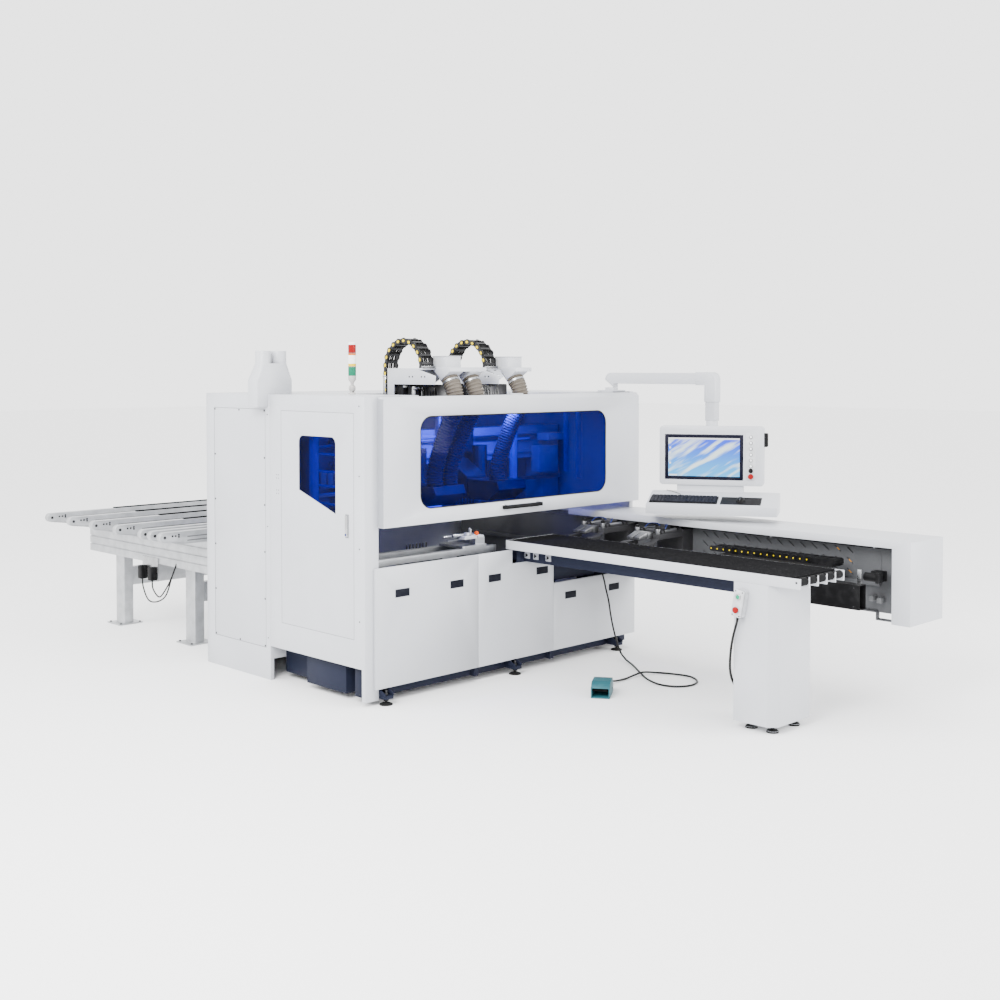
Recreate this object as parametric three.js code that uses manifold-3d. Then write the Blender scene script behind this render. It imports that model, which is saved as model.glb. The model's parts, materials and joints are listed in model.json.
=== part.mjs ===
// A six sided CNC drilling machine for flat furniture panels, built as an assembly of separate pieces.
// All lengths are in millimetres. The floor is z = 0, x runs along the window side, y into the machine
// and z up. The sizes below are measured from the enclosure's near left corner on the floor.
import * as THREE from "three";
import { mergeVertices } from "three/addons/utils/BufferGeometryUtils.js";
import Module from "manifold-3d";

const wasm = await Module();
wasm.setup();

// Driving dimensions
const enclosure = { width: 2750, depth: 1900, height: 2045 };
const drop = {
  hood: 6,
  hoodWindow: 142,
  door: 114,
  doorWindow: 279,
  cover: 109,
  gantryTop: 285,
  gantryBottom: 545,
  guides: [500, 350],
  saddle: 645,
  saddleNotch: 55,
  headPlate: 145,
  headBottom: 785,
  headBlock: 625,
  headMotor: 405,
  dustHood: 645,
  chainEnd: 85,
  saddlePlate: 145,
  hoseEnd: 643,
  portLip: 89,
  arm: 206,
  screenTop: 245,
  glassTop: 307,
  glassBottom: 645,
  screenBottom: 685,
  trayHigh: 736,
  trayLip: 810,
  trayBottom: 875,
  consoleStop: 613,
};
const rise = {
  shelf: 185,
  chainArch: 186,
  sidePlate: 70,
  manifold: 272,
  hoseTop: 115,
  portShoulder: 95,
  portNeck: 220,
  portTop: 309,
  towerHinge: 37,
  lampBottom: 58,
  lampSilver: 129,
  lampTop: 371,
  lampSeams: [196, 292],
  post: 33,
  arm: 150,
};
const fromRight = {
  firstSeam: 1741,
  secondSeam: 958,
  hoodWindow: 409,
  gripperBeam: 300,
  gripperBeamEnd: 50,
  middleBeam: 1450,
  middleBeamEnd: 1300,
  crossbarDeep: 950,
  crossbarEnd: 430,
  table: 1425,
  tableEnd: 920,
  legEnd: 1025,
  middleFoot: 1379,
  rightFoot: 233,
  cover: 440,
  trunk: 738,
  trunkEnd: 658,
  trayChain: 535,
  trayChainEnd: 425,
  carriage: 420,
  gripperArm: 710,
  finger: 850,
  gantry: 60,
  post: 150,
  railEnd: 1460,
  outfeed: 350,
  railPosts: 1600,
  pusher: 1790,
  lowerHead: 1850,
};
const panelPass = { bottom: 975, top: 1180 };
const outfeedEdge = enclosure.width - fromRight.outfeed;
const behind = {
  nearRows: [325, 472],
  wideRow: 619,
  posts: [670, 1820],
  railEnd: 2255,
};
const sheet = 3;
const fold = 40;
const gap = 0.3;
const overrun = 6;
const weldDistance = 1e-3;
const roundSides = 14;
const arcSteps = 4;

// Joining and cutting
function toSolid(geometry) {
  const bare = geometry.index ? geometry.toNonIndexed() : geometry.clone();
  bare.deleteAttribute("normal");
  bare.deleteAttribute("uv");
  const merged = mergeVertices(bare, weldDistance);
  return new wasm.Manifold(
    new wasm.Mesh({
      numProp: 3,
      vertProperties: merged.attributes.position.array,
      triVerts: new Uint32Array(merged.index.array),
    }),
  );
}

function toGeometry(solid) {
  const { vertProperties, triVerts } = solid.getMesh();
  const geometry = new THREE.BufferGeometry();
  geometry.setAttribute("position", new THREE.BufferAttribute(vertProperties, 3));
  geometry.setIndex(new THREE.BufferAttribute(triVerts, 1));
  return geometry;
}

function join(...solids) {
  return solids.reduce((whole, solid) => whole.add(solid));
}

function cut(body, ...tools) {
  return tools.reduce((rest, tool) => rest.subtract(tool), body);
}

// Basic solids
function block(low, high) {
  const size = high.map((value, axis) => value - low[axis]);
  const centre = high.map((value, axis) => (value + low[axis]) / 2);
  return toSolid(new THREE.BoxGeometry(...size).translate(...centre));
}

// An outline drawn in the other two axes (yz, xz or xy) and drawn out along the named axis.
function prism(axis, outline, from, to) {
  const geometry = new THREE.ExtrudeGeometry(outline, {
    depth: to - from,
    bevelEnabled: false,
    curveSegments: arcSteps,
  });
  if (axis === "x") {
    const turn = new THREE.Matrix4().makeBasis(
      new THREE.Vector3(0, 1, 0),
      new THREE.Vector3(0, 0, 1),
      new THREE.Vector3(1, 0, 0),
    );
    geometry.applyMatrix4(turn).translate(from, 0, 0);
  }
  if (axis === "y") geometry.rotateX(Math.PI / 2).translate(0, to, 0);
  if (axis === "z") geometry.translate(0, 0, from);
  return toSolid(geometry);
}

function outlineOf(points) {
  return new THREE.Shape(points.map(([u, v]) => new THREE.Vector2(u, v)));
}

function roundedOutline(left, bottom, right, top, radius) {
  const shape = new THREE.Shape();
  shape.moveTo(left + radius, bottom);
  shape.absarc(right - radius, bottom + radius, radius, -Math.PI / 2, 0, false);
  shape.absarc(right - radius, top - radius, radius, 0, Math.PI / 2, false);
  shape.absarc(left + radius, top - radius, radius, Math.PI / 2, Math.PI, false);
  shape.absarc(left + radius, bottom + radius, radius, Math.PI, Math.PI * 1.5, false);
  return shape;
}

function rod(axis, radius, at, from, to, sides = roundSides) {
  const geometry = new THREE.CylinderGeometry(radius, radius, to - from, sides);
  const middle = (from + to) / 2;
  if (axis === "x") geometry.rotateZ(Math.PI / 2).translate(middle, at[0], at[1]);
  if (axis === "y") geometry.translate(at[0], middle, at[1]);
  if (axis === "z") geometry.rotateX(Math.PI / 2).translate(at[0], at[1], middle);
  return toSolid(geometry);
}

// A profile of [radius, height] points turned round a vertical axis through x = y = 0.
function turned(profile, sides = roundSides) {
  const points = profile.map(([radius, height]) => new THREE.Vector2(radius, height));
  return toSolid(new THREE.LatheGeometry(points, sides).rotateX(Math.PI / 2));
}

// A sheet panel with its edges folded back, open on the side named by sign and axis, such as "+x".
function foldedPanel(low, high, open) {
  const axis = "xyz".indexOf(open[1]);
  const innerLow = low.map((value) => value + sheet);
  const innerHigh = high.map((value) => value - sheet);
  if (open[0] === "+") innerHigh[axis] = high[axis] + overrun;
  if (open[0] === "-") innerLow[axis] = low[axis] - overrun;
  return cut(block(low, high), block(innerLow, innerHigh));
}

// Finishes
const finishes = {
  white: { color: 0xeceef1, roughness: 0.45, metalness: 0.0 },
  navy: { color: 0x3f4658, roughness: 0.5, metalness: 0.1 },
  black: { color: 0x17181a, roughness: 0.6, metalness: 0.0 },
  blueClear: { color: 0x1226b0, roughness: 0.1, metalness: 0.0 },
  silver: { color: 0xc4c6c8, roughness: 0.35, metalness: 0.9 },
  grey: { color: 0x8e9194, roughness: 0.5, metalness: 0.4 },
  beige: { color: 0xa79f92, roughness: 0.6, metalness: 0.0 },
  red: { color: 0xd2232a, roughness: 0.35, metalness: 0.0 },
  green: { color: 0x22b573, roughness: 0.35, metalness: 0.0 },
  teal: { color: 0x3f8790, roughness: 0.5, metalness: 0.0 },
};

const machine = new THREE.Group();

function addPiece(name, solid, finish, parent = machine) {
  const mesh = new THREE.Mesh(toGeometry(solid), new THREE.MeshStandardMaterial(finishes[finish]));
  mesh.name = name;
  parent.add(mesh);
  return mesh;
}

// Sizes of the covers
const column = { width: 116, depth: 35, bottom: 30 };
const skirtBottom = 245;
const roofDepth = 30;
const heads = { offset: 204.5, half: 310.5 };
const notchReach = { left: 670.5, right: 979.5 };
const headsMiddle = enclosure.width / 2 - heads.offset;
const roofNotch = { left: headsMiddle - notchReach.left, right: headsMiddle + notchReach.right, back: 800 };
const cabinet = { width: 600, front: 1073, wall: 6, cableHole: 300, plinth: 180, plinthWall: 30 };
const cabinetCover = {
  front: 1128,
  back: 1789,
  bottom: 229,
  top: enclosure.height - drop.cover,
  ledge: 22,
};
const sideDoor = {
  front: 116,
  back: 930,
  bottom: 435,
  top: enclosure.height - drop.door,
  thickness: 28,
  seam: 2,
};
const sideWindow = {
  front: 310,
  back: 722,
  top: enclosure.height - drop.doorWindow,
  lowFront: 1253,
  lowBack: 1389,
  corner: 45,
  lap: 25,
};
const pane = { thickness: 5, lap: 22 };
const latch = { y: 186, bottom: 1110, height: 142, width: 24, thickness: 14, bevel: 5 };
const panels = {
  left: 72,
  firstSeam: enclosure.width - fromRight.firstSeam,
  secondSeam: enclosure.width - fromRight.secondSeam,
  bottom: 107,
  top: 909,
  rightTop: 615,
  depth: 22,
  joint: 2,
};
const notchWidth = 442;
const notch = { left: panels.secondSeam - notchWidth, bottom: 810 };
const pull = { width: 120, height: 50, depth: 14, wall: 4, highRow: 702, lowRow: 482 };
const pullShares = { left: [0.1825, 0.714], middle: [0.1303, 0.7625], right: [0.1347, 0.666] };
const hood = {
  left: 112,
  bottom: 1176,
  top: enclosure.height - drop.hood,
  depth: 60,
  bevel: 28,
  windowLeft: 434,
  windowRight: enclosure.width - fromRight.hoodWindow,
  windowBottom: 1281,
  windowTop: enclosure.height - drop.hoodWindow,
  windowCorner: 95,
};
const handle = { left: 1211, right: 1591, z: 1236, reach: 46, bar: 26, post: 34 };

function sideWindowOutline(grow) {
  const front = sideWindow.front - grow;
  const back = sideWindow.back + grow;
  const top = sideWindow.top + grow;
  const radius = sideWindow.corner + grow;
  const shape = new THREE.Shape();
  shape.moveTo(front, sideWindow.lowFront - grow);
  shape.lineTo(back, sideWindow.lowBack - grow);
  shape.lineTo(back, top - radius);
  shape.absarc(back - radius, top - radius, radius, 0, Math.PI / 2, false);
  shape.absarc(front + radius, top - radius, radius, Math.PI / 2, Math.PI, false);
  return shape;
}

// The left wall's sheet turns the near corner and runs down as the front column.
function leftWall() {
  const wall = foldedPanel(
    [0, 0, skirtBottom],
    [fold, cabinet.front - gap, enclosure.height],
    "+x",
  );
  const corner = block([0, 0, column.bottom], [column.width, column.depth, enclosure.height]);
  const hollow = block(
    [sheet, sheet, column.bottom - overrun],
    [column.width - sheet, column.depth + overrun, enclosure.height - sheet],
  );
  const frameLow = [0, sideDoor.front - fold, sideDoor.bottom - fold];
  const frameHigh = [fold, sideDoor.back + fold, sideDoor.top + fold];
  const doorway = block(
    [-overrun, sideDoor.front - sideDoor.seam, sideDoor.bottom - sideDoor.seam],
    [fold + overrun, sideDoor.back + gap, sideDoor.top + sideDoor.seam],
  );
  return cut(join(cut(join(wall, corner), hollow), block(frameLow, frameHigh)), doorway);
}

// The right wall and the back are one shell, with the slot that the panels leave by.
const rearSlot = { left: 700, right: outfeedEdge, bottom: panelPass.bottom, top: panelPass.top };
const gripperBeam = {
  left: enclosure.width - fromRight.gripperBeam,
  right: enclosure.width - fromRight.gripperBeamEnd,
  bottom: 620,
  top: 1040,
  front: -2480,
  back: 1700,
  wall: 8,
};

function rearShell() {
  const right = foldedPanel(
    [enclosure.width - fold, gap, skirtBottom],
    [enclosure.width, enclosure.depth, enclosure.height],
    "-x",
  );
  const back = foldedPanel(
    [cabinet.width + gap, enclosure.depth - fold, skirtBottom],
    [enclosure.width - fold + sheet, enclosure.depth, enclosure.height],
    "-y",
  );
  const slot = block(
    [rearSlot.left, enclosure.depth - fold - overrun, rearSlot.bottom],
    [rearSlot.right, enclosure.depth + overrun, rearSlot.top],
  );
  return cut(join(right, back), slot);
}

function roof() {
  const low = [fold + gap, column.depth + gap, enclosure.height - roofDepth];
  const high = [
    enclosure.width - fold - gap,
    enclosure.depth - fold - gap,
    enclosure.height,
  ];
  const cabinetCorner = block(
    [low[0] - overrun, cabinet.front - gap, low[2] - overrun],
    [cabinet.width + gap, high[1] + overrun, high[2] + overrun],
  );
  const upstand = block(
    [roofNotch.left - sheet, low[1], low[2]],
    [roofNotch.right + sheet, roofNotch.back + sheet, high[2]],
  );
  const opening = block(
    [roofNotch.left, low[1] - overrun, low[2] - overrun],
    [roofNotch.right, roofNotch.back, high[2] + overrun],
  );
  return cut(join(foldedPanel(low, high, "-z"), upstand), opening, cabinetCorner);
}

// The cabinet is a closed box with a ledge that its screwed cover lies on.
function electricalCabinet() {
  const back = enclosure.depth;
  const body = block([0, cabinet.front, 0], [cabinet.width, back, enclosure.height]);
  const inside = block(
    [cabinet.wall, cabinet.front + cabinet.wall, cabinet.plinth],
    [cabinet.width - cabinet.wall, back - cabinet.wall, enclosure.height - cabinet.wall],
  );
  const coverSeat = block(
    [-overrun, cabinetCover.front - sideDoor.seam, cabinetCover.bottom - sideDoor.seam],
    [sheet + gap, cabinetCover.back + sideDoor.seam, cabinetCover.top + sideDoor.seam],
  );
  const ledge = cabinetCover.ledge;
  const access = block(
    [-overrun, cabinetCover.front + ledge, cabinetCover.bottom + ledge],
    [cabinet.wall + overrun, cabinetCover.back - ledge, cabinetCover.top - ledge],
  );
  const middleY = (cabinet.front + back) / 2;
  const cableHole = block(
    [cabinet.width - cabinet.wall - overrun, middleY - cabinet.cableHole, enclosure.height / 2],
    [cabinet.width + overrun, middleY, enclosure.height / 2 + cabinet.cableHole],
  );
  const wall = cabinet.plinthWall;
  const underPlinth = block(
    [wall, cabinet.front - overrun, -overrun],
    [cabinet.width - wall, back - wall, cabinet.plinth - wall],
  );
  return cut(body, inside, coverSeat, access, cableHole, underPlinth);
}

function door() {
  const low = [0, sideDoor.front, sideDoor.bottom];
  const high = [sideDoor.thickness, sideDoor.back, sideDoor.top];
  const rim = prism("x", sideWindowOutline(sideWindow.lap), 0, sideDoor.thickness);
  const light = prism("x", sideWindowOutline(0), -overrun, sideDoor.thickness + overrun);
  const paneSeat = prism("x", sideWindowOutline(pane.lap), sheet, sideDoor.thickness + overrun);
  return cut(join(foldedPanel(low, high, "+x"), rim), light, paneSeat);
}

function doorPane() {
  return prism("x", sideWindowOutline(pane.lap - gap), sheet + gap, sheet + gap + pane.thickness);
}

function doorLatch() {
  const half = latch.width / 2;
  const outline = outlineOf([
    [latch.y - half, -gap],
    [latch.y + half, -gap],
    [latch.y + half - latch.bevel, -latch.thickness],
    [latch.y - half + latch.bevel, -latch.thickness],
  ]);
  const lever = prism("z", new THREE.Shape(outline.getPoints().map((p) => new THREE.Vector2(p.y, p.x))),
    latch.bottom, latch.bottom + latch.height);
  return lever;
}

// A front panel: a folded sheet with pocketed finger pulls.
function frontPanel(left, right, top, pulls, pullBottom) {
  const joint = panels.joint / 2;
  const low = [left + joint, -panels.depth, panels.bottom];
  const high = [right - joint, -gap, top];
  let panel = foldedPanel(low, high, "+y");
  for (const share of pulls) {
    const x = left + (right - left) * share;
    const wall = pull.wall;
    const cup = block(
      [x - wall, -panels.depth, pullBottom - wall],
      [x + pull.width + wall, -panels.depth + pull.depth + wall, pullBottom + pull.height + wall],
    );
    const pocket = block(
      [x, -panels.depth - overrun, pullBottom],
      [x + pull.width, -panels.depth + pull.depth, pullBottom + pull.height],
    );
    panel = cut(join(panel, cup), pocket);
  }
  return panel;
}

function middlePanel() {
  const panel = frontPanel(
    panels.firstSeam,
    panels.secondSeam,
    panels.top,
    pullShares.middle,
    pull.highRow,
  );
  const rim = block(
    [notch.left - sheet, -panels.depth, notch.bottom - sheet],
    [panels.secondSeam - panels.joint, -gap, panels.top],
  );
  const opening = block(
    [notch.left, -panels.depth - overrun, notch.bottom],
    [panels.secondSeam + overrun, overrun, panels.top + overrun],
  );
  return cut(join(panel, rim), opening);
}

// The hood's section has a bevelled top edge, and it is open at the back.
function hoodSection(inset, back) {
  const front = -hood.depth + inset;
  const top = hood.top - inset;
  return outlineOf([
    [front, hood.bottom + inset],
    [back, hood.bottom + inset],
    [back, top],
    [front + hood.bevel, top],
    [front, top - hood.bevel],
  ]);
}

function hoodWindowOutline(grow) {
  return roundedOutline(
    hood.windowLeft - grow,
    hood.windowBottom - grow,
    hood.windowRight + grow,
    hood.windowTop + grow,
    hood.windowCorner + grow,
  );
}

function frontHood() {
  const shell = prism("x", hoodSection(0, -gap), hood.left, enclosure.width);
  const inside = prism("x", hoodSection(sheet, overrun), hood.left + sheet, enclosure.width - sheet);
  const opening = prism("y", hoodWindowOutline(0), -hood.depth - overrun, 0);
  return cut(shell, inside, opening);
}

function hoodPane() {
  const front = -hood.depth + sheet + gap;
  return prism("y", hoodWindowOutline(pane.lap), front, front + pane.thickness);
}

// A bar handle on two posts, its section rounded.
function hoodHandle() {
  const face = -hood.depth - gap;
  const half = handle.bar / 2;
  const barBack = face - handle.reach + handle.bar;
  const outline = new THREE.Shape();
  outline.moveTo(handle.left, face);
  outline.lineTo(handle.left, barBack - half);
  outline.absarc(handle.left + half, barBack - half, half, Math.PI, Math.PI * 1.5, false);
  outline.absarc(handle.right - half, barBack - half, half, Math.PI * 1.5, Math.PI * 2, false);
  outline.lineTo(handle.right, face);
  outline.lineTo(handle.right - handle.post, face);
  outline.lineTo(handle.right - handle.post, barBack);
  outline.lineTo(handle.left + handle.post, barBack);
  outline.lineTo(handle.left + handle.post, face);
  return prism("z", outline, handle.z - half, handle.z + half);
}

addPiece("side_wall_left", leftWall(), "white");
addPiece("rear_shell", rearShell(), "white");
addPiece("roof_panel", roof(), "white");
addPiece("electrical_cabinet", electricalCabinet(), "white");
addPiece(
  "cabinet_cover",
  block([0, cabinetCover.front, cabinetCover.bottom], [sheet, cabinetCover.back, cabinetCover.top]),
  "white",
);
addPiece("side_door", door(), "white");
addPiece("side_door_window", doorPane(), "blueClear");
addPiece("door_latch", doorLatch(), "grey");
addPiece(
  "front_panel_left",
  frontPanel(panels.left, panels.firstSeam, panels.top, pullShares.left, pull.highRow),
  "white",
);
addPiece("front_panel_middle", middlePanel(), "white");
addPiece(
  "front_panel_right",
  frontPanel(panels.secondSeam, enclosure.width, panels.rightTop, pullShares.right, pull.lowRow),
  "white",
);
addPiece("front_hood", frontHood(), "white");
addPiece("hood_window", hoodPane(), "blueClear");
addPiece("hood_handle", hoodHandle(), "black");

// Sizes of the welded base, its feet and the feed table
const base = { bottom: 41, top: 241, inset: 45 };
const crossBeams = { front: [45, 165], middle: [260, 700], rear: [1300, 1600] };
const longBeams = {
  left: [130, 380],
  middle: [enclosure.width - fromRight.middleBeam, enclosure.width - fromRight.middleBeamEnd],
  right: [gripperBeam.left, gripperBeam.right],
};
const postSide = 80;
const railPosts = { x: [180, enclosure.width - fromRight.railPosts], y: [85, 280] };
const tableBeamSetIn = { left: 155, right: 355 };
const tableBeam = {
  left: enclosure.width - fromRight.table + tableBeamSetIn.left,
  right: enclosure.width - fromRight.table + tableBeamSetIn.right,
  front: -1971,
  top: 914.7,
};
const crossbar = {
  left: tableBeam.left,
  right: enclosure.width - fromRight.crossbarEnd,
  front: 30,
  back: 150,
  bottom: 813,
  top: 905,
};
const crossbarDeep = { left: enclosure.width - fromRight.crossbarDeep, bottom: 625 };
const foot = { pad: 45, padHeight: 12, padEdge: 7, stud: 9, nut: 17, nutHeight: 14 };
const panelPost = { width: 36, top: 800 };
const footLug = { width: 70, thickness: 22 };
const footPlaces = {
  left: 154,
  middle: enclosure.width - fromRight.middleFoot,
  right: enclosure.width - fromRight.rightFoot,
};
const footFront = -28;

function weldedBase() {
  const left = base.inset;
  const right = enclosure.width - base.inset;
  const beam = ([front, back], from) => block([from, front, base.bottom], [right, back, base.top]);
  const long = ([from, to], back) =>
    block([from, crossBeams.front[0], base.bottom], [to, back, base.top]);
  const parts = [
    beam(crossBeams.front, left),
    beam(crossBeams.middle, left),
    beam(crossBeams.rear, cabinet.width + base.inset),
    long(longBeams.left, cabinet.front - overrun),
    long(longBeams.middle, crossBeams.rear[1]),
    long(longBeams.right, crossBeams.rear[1]),
  ];
  for (const x of railPosts.x) {
    for (const y of railPosts.y) {
      parts.push(block([x, y, base.top - overrun], [x + postSide, y + postSide, railCross.bottom - gap]));
    }
  }
  parts.push(
    block(
      [crossbar.left, crossbar.front, crossbar.bottom],
      [crossbar.right, crossbar.back, crossbar.top],
    ),
    block(
      [crossbarDeep.left, crossbar.front, crossbarDeep.bottom],
      [crossbar.right, crossbar.back, crossbar.bottom + overrun],
    ),
    block(
      [tableBeam.left, tableBeam.front, crossbar.bottom],
      [tableBeam.right, crossbar.front + overrun, tableBeam.top],
    ),
  );
  for (const seam of [panels.firstSeam, panels.secondSeam]) {
    parts.push(
      block(
        [seam - panelPost.width / 2, 0, base.bottom],
        [seam + panelPost.width / 2, crossBeams.front[0] + overrun, panelPost.top],
      ),
    );
  }
  for (const x of [crossbarDeep.left, crossbar.right - postSide]) {
    parts.push(
      block(
        [x, crossBeams.front[0], base.top - overrun],
        [x + postSide, crossbar.back, crossbarDeep.bottom + overrun],
      ),
    );
  }
  for (const [front, back] of [crossBeams.front, crossBeams.rear]) {
    parts.push(
      block(
        [gripperBeam.left, front, base.top - overrun],
        [gripperBeam.right, back, gripperBeam.bottom - gap],
      ),
    );
  }
  const lowerFront = lowerBeam.front;
  parts.push(
    block(
      [longBeams.left[1] - postSide, lowerFront, lowerBeam.bottom],
      [longBeams.right[0] + postSide, lowerFront + lowerBeam.depth, lowerBeam.top],
    ),
  );
  for (const x of [longBeams.left[1] - postSide, longBeams.right[0]]) {
    parts.push(
      block(
        [x, lowerFront, base.top - overrun],
        [x + postSide, lowerFront + lowerBeam.depth, lowerBeam.bottom + overrun],
      ),
    );
  }
  for (const x of Object.values(footPlaces)) {
    parts.push(
      block(
        [x - footLug.width / 2, footFront - footLug.width / 2, base.bottom],
        [x + footLug.width / 2, crossBeams.front[0] + overrun, base.bottom + footLug.thickness],
      ),
    );
  }
  const rearFootX = (longBeams.right[0] + longBeams.right[1]) / 2;
  const rearFootY = (crossBeams.rear[0] + crossBeams.rear[1]) / 2;
  parts.push(rod("z", foot.pad, [rearFootX, rearFootY], 0, base.bottom + overrun));
  return join(...parts);
}

// A levelling foot: a pad with a tapered top, a stud and a nut under the lug.
function levellingFoot() {
  const nutBottom = base.bottom - gap - foot.nutHeight;
  return turned([
    [0, 0],
    [foot.pad, 0],
    [foot.pad, foot.padEdge],
    [foot.nut, foot.padHeight],
    [foot.stud, foot.padHeight],
    [foot.stud, nutBottom],
    [foot.nut, nutBottom],
    [foot.nut, base.bottom - gap],
    [0, base.bottom - gap],
  ]);
}

// The inner work rails, the side pusher and the beam that the lower drill head runs on
const railCross = { bottom: 860, top: 900 };
const workRail = { left: 150, right: enclosure.width - fromRight.railEnd, width: 45, top: 945, groove: 12, grooveDepth: 14 };
const railRows = [85, 300];
const lowerBeam = { front: 760, depth: 120, bottom: 455, top: 615 };
const pusher = { left: enclosure.width - fromRight.pusher, width: 240, plate: 16, blockWidth: 90, blockHeight: 46, stop: 30, knob: 13 };

function supportRails() {
  const rails = railRows.map((y) => {
    const rail = block([workRail.left, y, railCross.top], [workRail.right, y + workRail.width, workRail.top]);
    const middle = y + workRail.width / 2;
    const groove = block(
      [workRail.left - overrun, middle - workRail.groove / 2, workRail.top - workRail.grooveDepth],
      [workRail.right + overrun, middle + workRail.groove / 2, workRail.top + overrun],
    );
    return cut(rail, groove);
  });
  const ties = railPosts.x.map((x) =>
    block(
      [x, railRows[0], railCross.bottom],
      [x + postSide, railRows[1] + workRail.width, railCross.top + overrun / 2],
    ),
  );
  return join(...rails, ...ties);
}

function sidePusher() {
  const bottom = workRail.top + gap;
  const plateTop = bottom + pusher.plate;
  const front = railRows[0];
  const back = railRows[1] + workRail.width;
  const right = pusher.left + pusher.width;
  const blockLeft = right - pusher.blockWidth;
  const headTop = plateTop + pusher.blockHeight;
  return join(
    prism("z", roundedOutline(pusher.left, front, right, back, pusher.knob), bottom, plateTop),
    block([blockLeft, front + pusher.stop, plateTop - overrun / 2], [right, back - pusher.stop, headTop]),
    rod("x", pusher.knob, [front + pusher.blockWidth, (plateTop + headTop) / 2],
      blockLeft - overrun, right + pusher.stop),
    rod("x", pusher.knob / 2, [back - pusher.blockWidth, (plateTop + headTop) / 2],
      pusher.left, blockLeft + overrun),
  );
}

// The lower head's long housing carries a row of bits that drill the panel's underside.
const lowerHead = {
  left: enclosure.width - fromRight.lowerHead,
  width: 300,
  bottom: 520,
  blockTop: 860,
  reach: 190,
  shoulder: 60,
  lug: 30,
};
const bit = { radius: 6, collet: 11, colletHeight: 22, length: 62, pitch: 32, count: 7 };

function bitRow(firstX, y, faceZ, direction) {
  const row = [];
  for (let i = 0; i < bit.count; i += 1) {
    const x = firstX + i * bit.pitch;
    const colletEnd = faceZ + direction * bit.colletHeight;
    const tip = faceZ + direction * bit.length;
    const start = faceZ - direction * overrun;
    row.push(rod("z", bit.collet, [x, y], Math.min(start, colletEnd), Math.max(start, colletEnd), 8));
    row.push(rod("z", bit.radius, [x, y], Math.min(start, tip), Math.max(start, tip), 6));
  }
  return join(...row);
}

function lowerDrillHead() {
  const back = lowerBeam.front - gap;
  const front = back - lowerHead.reach;
  const right = lowerHead.left + lowerHead.width;
  const outline = outlineOf([
    [back, lowerHead.bottom],
    [back, lowerHead.blockTop],
    [front, lowerHead.blockTop],
    [front, lowerHead.blockTop - lowerHead.reach],
    [back - lowerHead.shoulder, lowerHead.bottom],
  ]);
  const bits = bitRow(lowerHead.left + lowerHead.lug, (front + back) / 2, lowerHead.blockTop, 1);
  return join(prism("x", outline, lowerHead.left, right), bits);
}

const frontFoot = levellingFoot();
addPiece("base_frame", weldedBase(), "navy");
for (const [place, x] of Object.entries(footPlaces)) {
  addPiece("foot_front_" + place, frontFoot, "black").position.set(x, footFront, 0);
}
addPiece("support_rails", supportRails(), "silver");
addPiece("side_pusher", sidePusher(), "silver");
addPiece("lower_drill_head", lowerDrillHead(), "grey");

// The feed table
const table = {
  left: enclosure.width - fromRight.table,
  right: enclosure.width - fromRight.tableEnd,
  front: -2440,
  back: 20,
  top: 980,
  edge: 65,
  bed: 12,
};
const tableRibs = { count: 6, thickness: 20 };
const rollerBay = { length: 62, cheek: 12, count: 5, radius: 21, axle: 9, height: 955 };

function tableInnerLeft() {
  return table.left + sheet;
}

function tableEdge() {
  const low = [table.left, table.front, table.top - table.edge];
  const high = [table.right, table.back, table.top];
  let tray = foldedPanel(low, high, "+z");
  const span = table.back - table.front - rollerBay.length;
  const ribTop = table.top - table.bed - gap * 2;
  for (let i = 0; i < tableRibs.count; i += 1) {
    const y = table.front + rollerBay.length + (span * i) / tableRibs.count;
    tray = tray.add(
      block(
        [table.left + sheet / 2, y, low[2] + sheet / 2],
        [table.right - sheet / 2, y + tableRibs.thickness, ribTop],
      ),
    );
  }
  const pitch = (table.right - table.left - rollerBay.cheek) / rollerBay.count;
  for (let i = 0; i < rollerBay.count; i += 1) {
    const x = table.left + rollerBay.cheek + i * pitch;
    tray = tray.subtract(
      block(
        [x, table.front - overrun, low[2] - overrun],
        [x + pitch - rollerBay.cheek, table.front + rollerBay.length, table.top + overrun],
      ),
    );
    tray = tray.add(
      block(
        [x - rollerBay.cheek, table.front, low[2]],
        [x, table.front + rollerBay.length + sheet, ribTop],
      ),
    );
  }
  tray = tray.add(
    block(
      [table.right - rollerBay.cheek, table.front, low[2]],
      [table.right, table.front + rollerBay.length + sheet, ribTop],
    ),
  );
  const axleHole = rod("x", rollerBay.axle + gap, [rollerAxisY(), rollerBay.height],
    table.left + sheet, table.right - sheet);
  return tray.subtract(axleHole);
}

function rollerAxisY() {
  return table.front + rollerBay.radius + sheet;
}

function tableTop() {
  const front = table.front + rollerBay.length + sheet;
  return block(
    [tableInnerLeft() + gap, front, table.top - table.bed - gap],
    [table.right - sheet - gap, table.back - sheet - gap, table.top - gap],
  );
}

function endRollers() {
  const at = [rollerAxisY(), rollerBay.height];
  const pitch = (table.right - table.left - rollerBay.cheek) / rollerBay.count;
  const parts = [rod("x", rollerBay.axle, at, table.left + sheet + gap, table.right - sheet - gap, 12)];
  for (let i = 0; i < rollerBay.count; i += 1) {
    const x = table.left + rollerBay.cheek + i * pitch;
    parts.push(rod("x", rollerBay.radius, at, x + gap * 4, x + pitch - rollerBay.cheek - gap * 4));
  }
  return join(...parts);
}

const leg = {
  left: table.left,
  right: enclosure.width - fromRight.legEnd,
  front: -2265,
  back: -1971.3,
  bottom: 50,
  chamfer: 48,
  wall: 4,
  cableHole: 60,
  padRadius: 38,
  footInset: 70,
};

function legOutline(inset) {
  const { left, right, front, back, chamfer } = leg;
  return outlineOf([
    [left + inset, front + chamfer + inset / 2],
    [left + chamfer + inset / 2, front + inset],
    [right - inset, front + inset],
    [right - inset, back - inset],
    [left + inset, back - inset],
  ]);
}

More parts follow.
